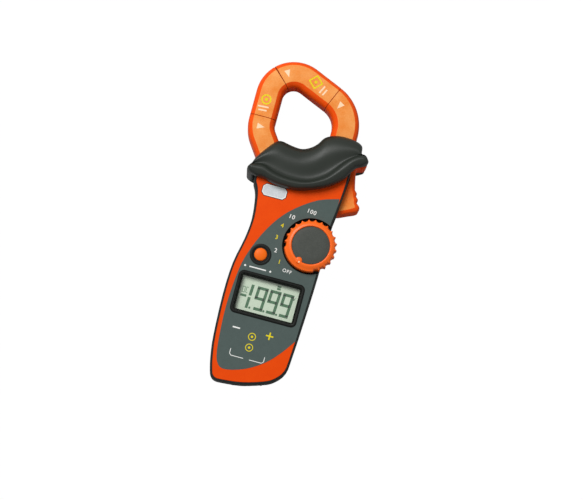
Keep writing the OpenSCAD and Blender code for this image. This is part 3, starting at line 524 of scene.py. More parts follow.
def rounded(corners, steps=3):
    """A closed outline through (x, y, radius) corners."""
    out = []
    for i, (x, y, r) in enumerate(corners):
        before, after = Vector(corners[i - 1][:2]), Vector(corners[(i + 1) % len(corners)][:2])
        here = Vector((x, y))
        a, b = before - here, after - here
        reach = min(r, a.length / 2, b.length / 2)
        a, b = here + a.normalized() * reach, here + b.normalized() * reach
        for k in range(steps + 1):
            t = k / steps
            out.append(tuple(a * (1 - t) ** 2 + here * 2 * t * (1 - t) + b * t * t))
    return out


def through(points, steps):
    """A smooth line through points of any size (Catmull-Rom)."""
    out = []
    for i in range(len(points) - 1):
        a, b, c, d = (points[max(i - 1, 0)], points[i], points[i + 1],
                      points[min(i + 2, len(points) - 1)])
        for k in range(steps):
            t = k / steps
            out.append(tuple(0.5 * (2 * q + (r - p) * t + (2 * p - 5 * q + 4 * r - s) * t * t
                                    + (3 * q - p - 3 * r + s) * t ** 3)
                             for p, q, r, s in zip(a, b, c, d)))
    return out + [tuple(points[-1])]


def polar(centre, r, angle):
    """The place at a distance and an angle in degrees from a centre."""
    return centre[0] + r * cos(radians(angle)), centre[1] + r * sin(radians(angle))


def lathe(name, centre, profile, materials, body, steps=96, **more):
    """A turned piece: profile is [radius, z] from one end of its axis to the other."""
    angles = [2 * pi * k / steps for k in range(steps)]
    rings = [[(centre[0] + r * cos(a), centre[1] + r * sin(a), z) for a in angles]
             for r, z in profile]
    return build(name, *skin(rings[::-1]), materials, body, **more)


# ---------------- jaws
JAW_W, JAW_T, JAW_Z = 16.1, 17, 17
BEVEL_IN, BEVEL_OUT = 3.3, 2.8
PIVOT = (21.2, 139)
LEFT = -38.4
ARM_X = LEFT + JAW_W / 2  # middle line of the fixed jaw's arm
CORNER_R, SHOULDER_R, LOWER_R = 15, 20.6, 15.85
TOP = 2 * MIDDLE
CORNER = (ARM_X + CORNER_R, TOP - JAW_W / 2 - CORNER_R)
SHOULDER = (-1.4, 162.5)
LOWER_Y = 157
SEAM_ANGLE = degrees(atan2(CORNER[1] - PIVOT[1], CORNER[0] - PIVOT[0]))
SEAM_GAP = 0.15
GROOVE = 0.24
GROOVE_FROM = 1  # a groove lowers the section above this height
FLAT_WITHIN = 0.12  # of the jaw's top, where the section counts as its face
PARTING = 0.05  # half of the gap between the front and the rear shell of a jaw
MOVING_END_Y = 149.4


def turn(centre, radius, start, end, steps):
    """Stations (x, y, heading, groove depth) round an arc."""
    side = 90 if end > start else -90
    angles = [start + (end - start) * k / steps for k in range(steps + 1)]
    return [(*polar(centre, radius, a), a + side, 0) for a in angles]


def groove(station, along):
    """Three stations of a fine groove across a jaw, some way along from a station."""
    heading = station[2]
    return [(*polar(station, along + k * GROOVE, heading), heading, GROOVE if k == 0 else 0)
            for k in (-1, 0, 1)]


def lowered(angle, way):
    """The first station beside the split of the jaws, with its lip cut back."""
    return [(*turn(CORNER, CORNER_R, angle, angle + way, 1)[0][:3], GROOVE)]


def jaw_section():
    """Half of a jaw's section, (across, height above its middle), inner edge at +across."""
    half, top = JAW_W / 2, JAW_T / 2
    return rounded([
        (-half, PARTING, 0.1), (half, PARTING, 0.1), (half, top - 1.15 * BEVEL_IN, 1.6),
        (half - 0.35 * BEVEL_IN, top - 0.42 * BEVEL_IN, 1.2), (half - BEVEL_IN, top - 0.02, 0.35),
        (-half + BEVEL_OUT, top - 0.02, 0.35),
        (-half + 0.35 * BEVEL_OUT, top - 0.42 * BEVEL_OUT, 0.9),
        (-half, top - 1.15 * BEVEL_OUT, 1.2)])


def jaw_shell(name, line, inner, up, body):
    """Half of a jaw: its section swept along a line of stations. inner is the side of the
    window, 1 for the line's left, and up is 1 for the front shell and -1 for the rear one."""
    section = jaw_section()
    rings = []
    for x, y, heading, deep in line:
        c, s = cos(radians(heading)), sin(radians(heading))
        ring = []
        for across, height in section:
            u = inner * across * (1 - deep / (JAW_W / 2))
            z = height - deep if height > GROOVE_FROM else height
            ring.append((x - u * s, y + u * c, JAW_Z + up * z))
        rings.append(ring if inner * up > 0 else ring[::-1])
    order = section if inner * up > 0 else section[::-1]
    flat = [min(order[i][1], order[(i + 1) % len(order)][1]) > JAW_T / 2 - FLAT_WITHIN
            for i in range(len(order))]
    verts, faces = skin(rings)
    cut = [line[j][3] > 0 or line[j + 1][3] > 0 for j in range(len(line) - 1)]
    # Flat faces take jaw_face, whose paler tone is partly painted light; sides take jaw_edge, grooves jaw_seam
    bands = [2 if cut[k // len(order)] else 0 if flat[k % len(order)] else 1
             for k in range(len(faces) - 2)] + [2, 2]
    return build(name, verts, faces, ["jaw_face", "jaw_edge", "jaw_seam"], body, stands_for=[name],
                 slot="orange_jaw", bands=bands, soft=28)


to_shoulder = Vector(SHOULDER) - Vector(CORNER)
RUN_ANGLE = (degrees(atan2(to_shoulder.y, to_shoulder.x))
             + degrees(asin((SHOULDER_R - CORNER_R) / to_shoulder.length)))
DROP_ANGLE, DROP_L, BASE_R, RING_END_X = 215, 12, 12, 9
lower_arc = turn((ARM_X + LOWER_R, LOWER_Y), LOWER_R, 180, DROP_ANGLE, 14)
drop_end = polar(lower_arc[-1], DROP_L, DROP_ANGLE + 90)
base_centre = polar(drop_end, -BASE_R, DROP_ANGLE)
base_arc = turn(base_centre, BASE_R, DROP_ANGLE, 270, 14)
LIP = degrees(GROOVE / CORNER_R)
fixed_line = (lowered(SEAM_ANGLE, 1) + turn(CORNER, CORNER_R, SEAM_ANGLE + LIP, 180, 20)
              + groove((ARM_X, LOWER_Y, 270, 0), -2) + lower_arc + base_arc
              + [(RING_END_X, base_arc[-1][1], 360, 0)])
moving_start = SEAM_ANGLE - degrees(asin(SEAM_GAP / CORNER_R))
shoulder_arc = turn(SHOULDER, SHOULDER_R, 90 + RUN_ANGLE, 0, 32)
moving_line = (lowered(moving_start, -1)
               + turn(CORNER, CORNER_R, moving_start - LIP, 90 + RUN_ANGLE, 24)
               + [shoulder_arc[0]] + groove(shoulder_arc[0], 0.5) + shoulder_arc[3:]
               + [(SHOULDER[0] + SHOULDER_R, MOVING_END_Y, -90, 0)])
jaws = [jaw_shell("fixed_jaw_front_shell", fixed_line, 1, 1, "housing"),
        jaw_shell("moving_jaw_front_shell", moving_line, -1, 1, "jaw_lever")]
jaw_shell("fixed_jaw_rear_shell", fixed_line, 1, -1, "housing")
jaw_shell("moving_jaw_rear_shell", moving_line, -1, -1, "jaw_lever")

# ---------------- trigger
LEVER_T = 16.2
LEVER_EDGE = 2.3  # how far its rounded edge reaches inwards
LEVER_HUB_R = 9.7
LEVER_TOP_Y = 149.3
# The rounded edge: share of LEVER_EDGE inwards, and depth below the lever's face
LEVER_ROUND = [(1, 0), (0.45, 0.5), (0.1, 1.4), (0, 2.6)]
HIDDEN_EDGE = 0.35  # share of the edge where the guard hides it, so that the outline stays simple
RIB_SMOOTHINGS, GRIP_MORE, GRIP_FADE = 24, 8, 8  # passes, and points past the ribs


def trigger():
    """The lever: its outline with rounded grip ribs, and softened front and back edges."""
    tip = through([(24.6, 112.3), (29, 113.8), (34, 116.1), (37.2, 117.5), (38.9, 118.9),
                   (39.1, 120.8), (38.4, 122.1), (37.4, 122.9)], 3)
    ribs = through([(37.4, 122.9), (36.7, 123.6), (37, 124.5), (36.9, 125.7), (36.1, 126.6),
                    (35.3, 127.4), (35.5, 128.2), (35.3, 129.3), (34.5, 130.1),
                    (33.8, 130.8)], 3)
    shoulder = through([(33.8, 130.8), (33, 134), (32.2, 138), (31.6, 141.2), (31.8, 142.8),
                        (33.4, 143.8), (35.6, 144.3), (37, 146.2), (36.4, 148.4),
                        (34.2, 149.1), (30.6, 149.2), (27.2, LEVER_TOP_Y)], 4)
    hub = [polar(PIVOT, LEVER_HUB_R, a) for a in range(165, 263, 12)]
    line = tip[:-1] + ribs[:-1] + shoulder + [(11.2, LEVER_TOP_Y)] + hub + [(24.2, 127)]
    line = [Vector(p) for p in line]
    grip = len(tip) + len(ribs) + GRIP_MORE  # the points of the outline that a finger reaches
    plain = list(line)
    for _ in range(RIB_SMOOTHINGS):
        plain = [(plain[i - 1] + 2 * p + plain[i + 1]) / 4 if 3 < i < grip else p
                 for i, p in enumerate(plain)]
    moved = [min(1, max(HIDDEN_EDGE, 1 - (i - grip) / GRIP_FADE)) for i in range(len(line))]

    def inset(share, z):
        """The outline moved inwards by a share of the edge; the ribs fade away with it."""
        d = share * LEVER_EDGE
        ring = []
        for i, (ribbed, smooth) in enumerate(zip(line, plain)):
            along = (plain[(i + 1) % len(plain)] - plain[i - 1]).normalized()
            p = ribbed.lerp(smooth, share) + Vector((-along.y, along.x)) * d * moved[i]
            ring.append((p.x, p.y, z))
        return ring

    low, high = JAW_Z - LEVER_T / 2, JAW_Z + LEVER_T / 2
    verts, faces = skin([inset(share, low + deep) for share, deep in LEVER_ROUND]
                        + [inset(share, high - deep) for share, deep in LEVER_ROUND[::-1]])
    # Front and back faces take trigger_face, whose paler tone is partly painted light; the rounded sides take jaw_edge
    bands = [1] * (len(faces) - 2) + [0, 0]
    build("trigger", verts, faces, ["trigger_face", "jaw_edge"], "jaw_lever",
          stands_for=["trigger_lever"], slot="orange_jaw", bands=bands, soft=40)


trigger()

# ---------------- guard
RIDGE_Z = 39
LABEL_Z = 31.1
BAY_TOP = 25.8  # underside of the front half, over the jaws
END_DROP = 2.6  # how far the ridge falls at either end
EAR = (-28.6, 125.4)
EAR_R = 2.7
# Station by station from the left ear to the right one: lower edge, valley, upper edge
GUARD_PLAN = [
    ((-30.6, 123.9), (-30.9, 126.5), (-30.6, 127.0)),
    ((-28.6, 122.7), (-29.3, 127.6), (-29.3, 128.6)),
    ((-24.6, 121.7), (-26.4, 128.3), (-28.2, 132.8)),
    ((-20.5, 121.7), (-22.0, 128.6), (-23.2, 140.7)),
    ((-15.5, 120.3), (-15.8, 126.3), (-17.4, 146.9)),
    ((-8.5, 119.5), (-9.0, 125.0), (-10.4, 146.1)),
    ((-1.3, 119.7), (-1.5, 124.9), (-3.4, 145.5)),
    ((5.0, 121.2), (4.6, 125.8), (2.0, 147.9)),
    ((11.2, 123.4), (10.4, 128.5), (5.6, 151.4)),
    ((17.5, 126.5), (15.6, 132.3), (8.7, 156.0)),
    ((22.5, 130.3), (19.5, 137.2), (15.6, 158.9)),
    ((26.0, 133.8), (23.1, 142.1), (24.4, 159.0)),
    ((28.3, 138.0), (26.8, 146.2), (31.1, 156.6)),
    ((30.8, 141.6), (30.8, 148.8), (32.0, 151.4)),
    ((33.6, 143.1), (34.2, 149.7), (34.3, 150.3)),
    ((36.3, 144.9), (36.7, 147.4), (36.7, 148.0))]
GUARD_STEPS = 3
# Front section: share of the way from lower edge (0) over the valley (1) to the upper edge (2),
# and depth below the finger barrier's top
FRONT_SECTION = [
    (0.02, 7.7), (0.0, 6.4), (0.02, 4.2), (0.08, 2.5), (0.28, 0.9), (0.52, 0.15), (0.74, 0.1),
    (0.92, 1.0), (1.03, 2.3), (1.1, 3.3), (1.24, 3.2), (1.45, 2.3), (1.62, 2.5), (1.8, 4),
    (1.94, 6.8), (2.0, 10.5)]
# Rear section: the same shares, and height
REAR_SECTION = [
    (2.0, 8.0), (2.0, 4.8), (1.92, 2.6), (1.65, 1.1), (1.3, 1.2), (1.0, 2.0), (0.8, 1.3),
    (0.5, 0.7), (0.22, 1.1), (0.04, 2.7), (0.0, 4.8), (0.0, 8.0)]


def plan_point(station, share):
    """The place of the plan at a share of the way over a station."""
    low, valley, high = (Vector(p) for p in station)
    return low.lerp(valley, share) if share <= 1 else valley.lerp(high, share - 1)


def guard_stations():
    """The stations with smooth ones between them."""
    flat = [tuple(c for p in station for c in p) for station in GUARD_PLAN]
    return [((s[0], s[1]), (s[2], s[3]), (s[4], s[5])) for s in through(flat, GUARD_STEPS)]


def closing(ring, towards):
    """Rings that close an end in a round: each is smaller and lies further out."""
    centre = sum((Vector(p) for p in ring), Vector()) / len(ring)
    return [[tuple(centre + Vector(towards) * out + (Vector(p) - centre) * size) for p in ring]
            for size, out in ((0.8, 0.25), (0.4, 0.4))]


def guard_half(name, rings, node):
    """A half of the guard through its rings: rounded ends, and a smooth skin over the mesh."""
    rings = closing(rings[0], (-1, -0.3, 0))[::-1] + rings + closing(rings[-1], (1, 0.2, 0))
    half = build(name, *skin(rings), ["guard_rubber"], "housing", stands_for=[node], soft=80)
    smooth = half.modifiers.new("subdivision", "SUBSURF")
    smooth.levels = smooth.render_levels = 2
    smooth.boundary_smooth = "PRESERVE_CORNERS"


def front_guard():
    """The saddle with its finger barrier; its underside lies on the face and over the jaws."""
    stations = guard_stations()
    last = len(stations) - 1
    rings = []
    for i, station in enumerate(stations):
        e = min(i, last - i) / GUARD_STEPS
        top = RIDGE_Z - END_DROP * max(0, 1 - e) ** 2
        ring = [(*plan_point(station, share), top - deep) for share, deep in FRONT_SECTION]
        high, lip = plan_point(station, 2.0), plan_point(station, 0.4)
        ring += [(*high, BAY_TOP), (*lip, BAY_TOP), (*lip, LABEL_Z)]
        rings.append(ring)
    guard_half("front_guard_form", rings, "front_guard")


front_guard()
guard_half("rear_guard_form",
           [[(*plan_point(station, share), z) for share, z in REAR_SECTION]
            for station in guard_stations()], "rear_guard")
EAR_COLUMN = [(0.5, 3.2), (0.72 * EAR_R, 3.6), (0.92 * EAR_R, 4.6), (EAR_R, 6.4), (EAR_R, 30),
              (0.97 * EAR_R, 32.5), (0.8 * EAR_R, 35), (0.5 * EAR_R, 36.5), (0.3, 37)]
lathe("ear_column", EAR, EAR_COLUMN, ["guard_rubber"], "housing", soft=60)

# ---------------- dial
DIAL = (16.7, 90.2)
DIAL_R, DIAL_Z, WELL_FLOOR = 15.5, 36, 25
STEPS_ROUND, NOTCH_R, NOTCH_DEPTH = 24, 2.2, 1.1
DISC_R = 11.2
KNOB_STEPS, BORE_R = 480, 3.6
REST_ANGLE = 243.5
PLAIN_ARC = 50  # half of the arc without notches


def dial_radius(angle):
    """The dial's outline: finger notches, and a plain arc behind the pointer."""
    turned = (angle - REST_ANGLE) % 360
    step = 360 / STEPS_ROUND
    nearest = (int(turned / step) + 0.5) * step
    if min(nearest, 360 - nearest) < PLAIN_ARC:
        return DIAL_R
    away = radians(turned - nearest)
    reach = DIAL_R - NOTCH_DEPTH + NOTCH_R
    inside = NOTCH_R ** 2 - (reach * sin(away)) ** 2
    return DIAL_R if inside < 0 else min(DIAL_R, reach * cos(away) - sqrt(inside))


def knob():
    """The orange ring: scalloped side, chamfered top edge, rounded inner lip."""
    angles = [REST_ANGLE + 360 * k / KNOB_STEPS for k in range(KNOB_STEPS)]
    bottom = WELL_FLOOR + 0.3

    def ring(cut, z, round_it=0.0):
        out = []
        for a in angles:
            r = dial_radius(a)
            r = r + (DIAL_R - NOTCH_DEPTH - r) * round_it - cut
            out.append((*polar(DIAL, r, a), z))
        return out

    def circle(r, z):
        return [(*polar(DIAL, r, a), z) for a in angles]

    rings = [circle(BORE_R, bottom), ring(0.4, bottom), ring(0, bottom + 0.4),
             ring(0, DIAL_Z - 2.6), ring(0.12, DIAL_Z - 2.0), ring(0.4, DIAL_Z - 1.5),
             ring(0.6, DIAL_Z - 1.3, 0.3)]
    rings += [circle(DISC_R + out, DIAL_Z - deep) for out, deep in (
        (2.7, 1.0), (2.1, 0.6), (1.4, 0.25), (0.6, 0), (0.25, 0.1), (0.05, 0.35), (0, 1.4))]
    rings.append(circle(BORE_R, DIAL_Z - 1.4))
    build("dial_ring", *skin(rings), ["knob_orange"], "dial", stands_for=["dial_knob"],
          slot="orange_jaw", soft=40)


knob()
disc = lathe("dial_face", DIAL, [(r, DIAL_Z - deep) for r, deep in (
    (0.4, 1.2), (DISC_R - 0.12, 1.2), (DISC_R - 0.12, 0.75), (DISC_R - 0.5, 0.6),
    (DISC_R * 0.6, 0.5), (0.4, 0.48))], ["dial_grey"], "dial", stands_for=["dial_disc"])


POINTER_L, POINTER_W, POINTER_STEPS = 2.3, 1.9, 24
POINTER_ANGLE = REST_ANGLE + 2.5


def pointer():
    """The small orange tongue on the dial, and the pale dot on it."""
    turned = Matrix.Rotation(radians(POINTER_ANGLE), 3, "Z")
    middle_at = Vector((*DIAL, 0))
    rings = []
    for deep, grow in ((1.3, 0.25), (0.35, 0.1), (0.08, -0.3), (0.03, -0.9)):
        ring = []
        for k in range(POINTER_STEPS):
            a = 2 * pi * k / POINTER_STEPS
            blunt = 0.7 if cos(a) > 0 else 0.95
            p = Vector((DISC_R + 0.4 + (POINTER_L + grow) * cos(a) * blunt,
                        (POINTER_W + grow) * sin(a), DIAL_Z - deep))
            ring.append(tuple(turned @ p + middle_at))
        rings.append(ring)
    build("dial_pointer", *skin(rings), ["knob_orange"], "dial", slot="orange_jaw", soft=50)
    at = turned @ Vector((DISC_R + 0.8, 0.7, 0)) + middle_at
    lathe("pointer_dot", at, [(0.15, DIAL_Z - 0.1), (0.5, DIAL_Z - 0.1), (0.47, DIAL_Z),
                              (0.15, DIAL_Z)],
          ["print_pale"], "dial", steps=POINTER_STEPS, slot="white_plastic")


pointer()

# ---------------- button
BUTTON = (-10.3, 77.9)
BUTTON_R, BUTTON_RING_R, FACE_Z = 3.75, 6.1, 31
lathe("button_surround", BUTTON, [(r, FACE_Z + rise) for r, rise in (
    (BUTTON_R + 0.32, -0.25), (BUTTON_RING_R - 0.1, -0.25), (BUTTON_RING_R + 0.3, 0.13),
    (BUTTON_RING_R - 0.2, 0.34), (BUTTON_RING_R - 0.7, 0.4), (BUTTON_RING_R - 1.3, 0.3),
    (BUTTON_R + 0.75, 0), (BUTTON_R + 0.4, -0.05))],
    ["black_trim"], "housing", stands_for=["button_ring"])

# ---------------- display
LCD = (0.3, 53.9)
LCD_W, LCD_H, BEZEL_W, BEZEL_RISE = 34.4, 20.2, 2.5, 1.2
DECK_Z = 29.4


def framed(w, h, r, z, steps=6):
    """A rounded rectangle about the display's middle, at a height."""
    out = []
    for cx, cy, start in ((1, 1, 0), (-1, 1, 90), (-1, -1, 180), (1, -1, 270)):
        centre = LCD[0] + cx * (w / 2 - r), LCD[1] + cy * (h / 2 - r)
        out += [(*polar(centre, r, start + 90 * k / steps), z) for k in range(steps + 1)]
    return out


def bezel():
    """The raised frame round the display, with a thin flange on the face."""
    w, h = LCD_W + 2 * BEZEL_W, LCD_H + 2 * BEZEL_W
    top = FACE_Z + BEZEL_RISE
    rings = [framed(w + grow, h + grow, r, z) for grow, r, z in (
        (0, 3, DECK_Z), (0, 3, FACE_Z), (0.6, 3.3, FACE_Z + 0.13), (0, 3, FACE_Z + 0.4),
        (-0.3, 2.85, top - 0.3), (-0.9, 2.6, top - 0.05), (-1.8, 2.2, top),
        (-2.6, 1.9, top - 0.15))]
    rings += [framed(LCD_W + grow, LCD_H + grow, r, z) for grow, r, z in (
        (0.5, 0.9, top - 1.4), (0, 0.6, top - 1.7), (0, 0.6, DECK_Z))]
    verts, faces = skin(rings, caps=False)
    n, m = len(rings[0]), len(rings)
    faces += [[i, (m - 1) * n + i, (m - 1) * n + (i + 1) % n, (i + 1) % n] for i in range(n)]
    return build("display_frame", verts, faces, ["black_trim"], "housing",
                 stands_for=["lcd_bezel"], soft=30)


display_frame = bezel()


# ---------------- flat marks
def decal(name, outlines, material, place, body="housing", turned=0.0, lift=0.04, thick=0.05):
    """Thin printed shapes from convex outlines in millimetres, laid flat about a place."""
    c, s = cos(radians(turned)), sin(radians(turned))
    at = place / MM
    verts, faces = [], []
    for shape in outlines:
        base, n = len(verts), len(shape)
        for z in (lift - thick, lift):
            verts += [(at.x + x * c - y * s, at.y + MIDDLE + x * s + y * c, at.z + z)
                      for x, y in shape]
        faces.append([base + i for i in range(n)][::-1])
        faces.append([base + n + i for i in range(n)])
        faces += [[base + i, base + (i + 1) % n, base + n + (i + 1) % n, base + n + i]
                  for i in range(n)]
    slot = "lcd_green" if material in ("lcd_ink", "lcd_ghost") else "white_plastic"
    return build(name, verts, faces, [material], body, slot=slot, soft=30)


def stroke(a, b, width):
    """A straight bar from a to b."""
    a, b = Vector(a), Vector(b)
    side = (b - a).normalized() * width / 2
    side = Vector((-side.y, side.x))
    return [tuple(a - side), tuple(b - side), tuple(b + side), tuple(a + side)]


def outline(points, width):
    """Bars along the sides of a closed shape, mitred at its corners."""
    corners = []
    for i, p in enumerate(points):
        here, before = Vector(p), Vector(points[i - 1])
        a = (here - before).normalized()
        b = (Vector(points[(i + 1) % len(points)]) - here).normalized()
        side = Vector((-a.y - b.y, a.x + b.x))
        side *= width / 2 / side.dot(Vector((-a.y, a.x)))
        corners.append((tuple(here - side), tuple(here + side)))
    return [[a[0], b[0], b[1], a[1]] for a, b in zip(corners, corners[1:] + corners[:1])]


def plus(reach, width):
    """An upright cross in one piece."""
    r, w = reach, width / 2
    return [(w, r), (-w, r), (-w, w), (-r, w), (-r, -w), (-w, -w), (-w, -r), (w, -r), (w, -w),
            (r, -w), (r, w), (w, w)]


def annulus(r, width, steps=28):
    """A flat ring in convex bits."""
    edge = [(cos(2 * pi * k / steps), sin(2 * pi * k / steps)) for k in range(steps)]
    return [[(x * (r - width), y * (r - width)), (x * r, y * r), (u * r, v * r),
             (u * (r - width), v * (r - width))]
            for (x, y), (u, v) in zip(edge, edge[1:] + edge[:1])]


def round_dot(r, x=0, steps=16):
    """A disc, x to the side."""
    angles = [2 * pi * k / steps for k in range(steps)]
    return [(x + r * cos(a), r * sin(a)) for a in angles]


LETTER_T, LETTER_WEIGHT, LETTER_SPACE = 0.02, 0.012, 1.16


def lettering(name, text, size, material, place, body="housing", turned=0.0, lift=0.05):
    """Plain figures in Blender's own typeface, laid flat about a place."""
    curve = bpy.data.curves.new(name, "FONT")
    curve.body = text
    curve.size = size * MM
    curve.align_x, curve.align_y = "CENTER", "CENTER"
    curve.extrude = LETTER_T * MM
    curve.offset = LETTER_WEIGHT * size * MM
    curve.space_character = LETTER_SPACE
    maker = placed(name + "_maker", curve)
    bpy.context.view_layer.update()
    mesh = bpy.data.meshes.new_from_object(maker)
    bpy.data.objects.remove(maker)
    mesh.name = name
    mesh.materials.clear()
    mesh.materials.append(MATERIALS[material])
    mesh.transform(Matrix.Translation(place + Vector((0, 0, lift * MM)))
                   @ Matrix.Rotation(radians(turned), 4, "Z"))
    piece = placed(name, mesh)
    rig.ride(piece, body)
    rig.slot(piece, "white_plastic")
    return piece


label, plate = nodes_of["function_label"], nodes_of["face_plate"]
named = {"dial": [disc], "button": [nodes_of["hold_button"]], "display": [display_frame]}

# Marks round the dial: OFF at the pointer, a row of numbers (angle, text, colour, turn), the last
OFF_SIZE, NUMBER_SIZE = 2.9, 3.5
OFF_TURN, LAST_TURN = -5, -6
ROW = [(222, "1", "print_yellow", 0), (202, "2", "print_white", 0),
       (180, "3", "print_yellow", 0), (158.5, "4", "print_yellow", 0),
       (137, "10", "print_white", LAST_TURN)]
ROW_OUT = 1.01  # the row bulges a little beyond an even run from OFF to the last mark
off_place, last_place = meet("off_mark", label), meet("last_mark", label)
named["off_mark"] = [lettering("mark_off", "OFF", OFF_SIZE, "print_white", off_place,
                               turned=OFF_TURN)]
named["last_mark"] = [lettering("mark_last", "100", NUMBER_SIZE, "print_white", last_place,
                                turned=LAST_TURN)]
dial_row = Vector((DIAL[0], DIAL[1] - MIDDLE))
first_reach, last_reach = [((place / MM).xy - dial_row).length
                           for place in (off_place, last_place)]
for k, (angle, text, colour, tilt) in enumerate(ROW):
    reach = (first_reach + (last_reach - first_reach) * (k + 1) / (len(ROW) + 1)) * ROW_OUT
    spot = dial_row + reach * Vector((cos(radians(angle)), sin(radians(angle))))
    lettering(f"mark_{k + 1}", text, NUMBER_SIZE, colour, Vector((*spot, LABEL_Z)) * MM,
              turned=tilt)

# A bar with two dots under the button, signs over the jacks, and a bracket that joins them
PORT_RING = annulus(2.3, 0.45) + [round_dot(0.7)]
PORT_PITCH = 6.5
for point, name, shapes, colour in (
        ("button_mark", "button_bar", [stroke((-5, 0), (5, 0), 0.7), round_dot(0.6, -7.6),
                                       round_dot(0.6, 7.6)], "print_white"),
        ("minus_mark", "minus_sign", [stroke((-2.2, 0), (2.2, 0), 0.8)], "print_white"),
        ("plus_mark", "plus_sign", [plus(2.2, 0.8)], "print_yellow"),
        ("port_mark", "port_ring", PORT_RING, "print_yellow")):
    named[point] = [decal(name, shapes, colour, meet(point, label))]
decal("port_ring_lower", PORT_RING, "print_yellow",
      meet("port_mark", label) - Vector((0, PORT_PITCH, 0)) * MM)
BRACKET_HALF, BRACKET_GAP, BRACKET_LINE = 10.2, 1.8, 0.4
BRACKET_SIDE = [(BRACKET_HALF, 1.9), (BRACKET_HALF, -0.9), (BRACKET_HALF - 1, -1.9),
                (BRACKET_GAP, -1.9)]
named["bracket"] = [decal("bracket", [
    stroke((side * a[0], a[1]), (side * b[0], b[1]), BRACKET_LINE)
    for a, b in zip(BRACKET_SIDE, BRACKET_SIDE[1:]) for side in (-1, 1)],
    "print_white", meet("bracket", label))]


def chamfered(w, h, c):
    """A rectangle with cut corners."""
    return [(w / 2, h / 2 - c), (w / 2 - c, h / 2), (-w / 2 + c, h / 2), (-w / 2, h / 2 - c),
            (-w / 2, -h / 2 + c), (-w / 2 + c, -h / 2), (w / 2 - c, -h / 2), (w / 2, -h / 2 + c)]


# The badge: a bare pale plate with a dark outline
BADGE, BADGE_EDGE = chamfered(13.9, 6.3, 1.5), chamfered(15.2, 7.6, 1.9)
BADGE_RIM, BADGE_T = 0.5, 0.1
badge_at = meet("badge", plate)
decal("badge_edge", [BADGE_EDGE], "black_trim", badge_at, lift=0.08, thick=BADGE_T)
decal("badge_rim", outline(BADGE, BADGE_RIM), "print_white", badge_at, lift=0.2, thick=BADGE_T)
named["badge"] = [decal("badge_plate", [BADGE], "badge_plate", badge_at, lift=0.16,
                        thick=BADGE_T)]

# Pale alignment triangles and yellow shapes on the jaws
TRIANGLE = [(-1.8, 1.9), (1.8, 1.9), (0, -2.6)]
for name, turned, jaw, body in (("left_triangle", 92, jaws[0], "housing"),
                                ("top_triangle", 30, jaws[1], "jaw_lever"),
                                ("right_triangle", -30, jaws[1], "jaw_lever")):
    named[name] = [decal(name, [TRIANGLE], "print_pale", meet(name, jaw), body, turned)]
SIGN_LINE, SIGN_DOT, SIGN_BAR = 0.8, 0.9, 0.95
arm_at, top_at = meet("arm_mark", jaws[0]), meet("top_mark", jaws[1])
named["arm_mark"] = [decal("arm_ring", annulus(3.1, SIGN_LINE) + [round_dot(SIGN_DOT)],
                           "print_yellow", arm_at)]
decal("arm_bars", [stroke((-3.9, -4.9), (2.6, -4.5), SIGN_BAR),
                   stroke((-3.1, -7.0), (1.9, -6.7), SIGN_BAR)], "print_pale", arm_at)
SQUARE = [(2.8, 2.8), (-2.8, 2.8), (-2.8, -2.8), (2.8, -2.8)]
named["top_mark"] = [decal("top_square", outline(SQUARE, SIGN_LINE) + [round_dot(SIGN_DOT)],
                           "print_yellow", top_at, "jaw_lever", 45)]
decal("top_bars", [stroke((3.6, -5.8), (5.9, -1.1), SIGN_BAR),
                   stroke((5.7, -6.7), (7.6, -2.8), SIGN_BAR)], "print_pale", top_at, "jaw_lever")

# ---------------- display's figures
DIGIT_W, DIGIT_H, SEGMENT = 6.6, 14.2, 1.7
LEAN = 0.055
ROW_Y = -1.05
FIGURES = (("1", -12.9), ("9", -4.2), ("9", 3.55), ("9", 11.3))
DOTS_X, DOT_R = (-8.9, -0.45, 7.3), 0.65
SIGN_W = 0.4


def segment_shapes(figure, x):
    """The bars of one seven-segment figure about the display's middle."""
    w, h, end = DIGIT_W / 2 - SEGMENT / 2, DIGIT_H / 2 - SEGMENT / 2, SEGMENT / 2
    bars = {"1": [((w, h + end), (w, 0.5)), ((w, -0.5), (w, -h - end))],
            "9": [((-w - end, h), (w + end, h)), ((w, h), (w, -h)), ((-w, h), (-w, 0)),
                  ((-w - end, 0), (w, 0)), ((-w + 0.4, -h), (w + end, -h))]}
    return [[(x + u + LEAN * v, v) for u, v in stroke(a, b, SEGMENT)] for a, b in bars[figure]]


cell_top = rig.box("lcd_cell")[1].z
middle = Vector((LCD[0] * MM, (LCD[1] - MIDDLE) * MM, cell_top))
figures = []
for figure, x in FIGURES:
    figures += segment_shapes(figure, x)
figures += [[(x + u, v - DIGIT_H / 2 + DOT_R) for u, v in round_dot(DOT_R)] for x in DOTS_X]
# The minus before the figures, and a small pair of bars above them
figures.append(stroke((-16, -0.2), (-12.4, -0.2), 1.4))
figures += [stroke((3.9, y), (6.1, y), 1.1) for y in (9.9, 8.5)]
decal("display_figures", [[(x, y + ROW_Y) for x, y in shape] for shape in figures], "lcd_ink",
      middle, lift=0.05)
# Small pale signs that say nothing, right and left of the figures
signs = [stroke((x, 4.6), (15, 3.1), 0.5) for x in (14.4, 15.8)]
signs += outline([(-15.6, 0.6), (-14.2, 0.6), (-14.2, 3.9), (-15.6, 3.9)], SIGN_W)
signs += [stroke((-13.4, 0.6), (-13.4, 3.9), SIGN_W),
          *(stroke((-13.2, y), (-12.3, y), SIGN_W) for y in (0.6, 3.9))]
decal("display_signs", signs, "lcd_ghost", middle, lift=0.05)

# ---------------- floor and light
FLOOR = 6000
FLOOR_GLOW, FLOOR_SEEN = 1.03, 0.97  # what the camera sees of it is white but for the shadow
KEY_PLACE, KEY_SIZE, KEY_POWER = (-500, 430, 1000), 600, 12.9
AMBIENT = 0.3


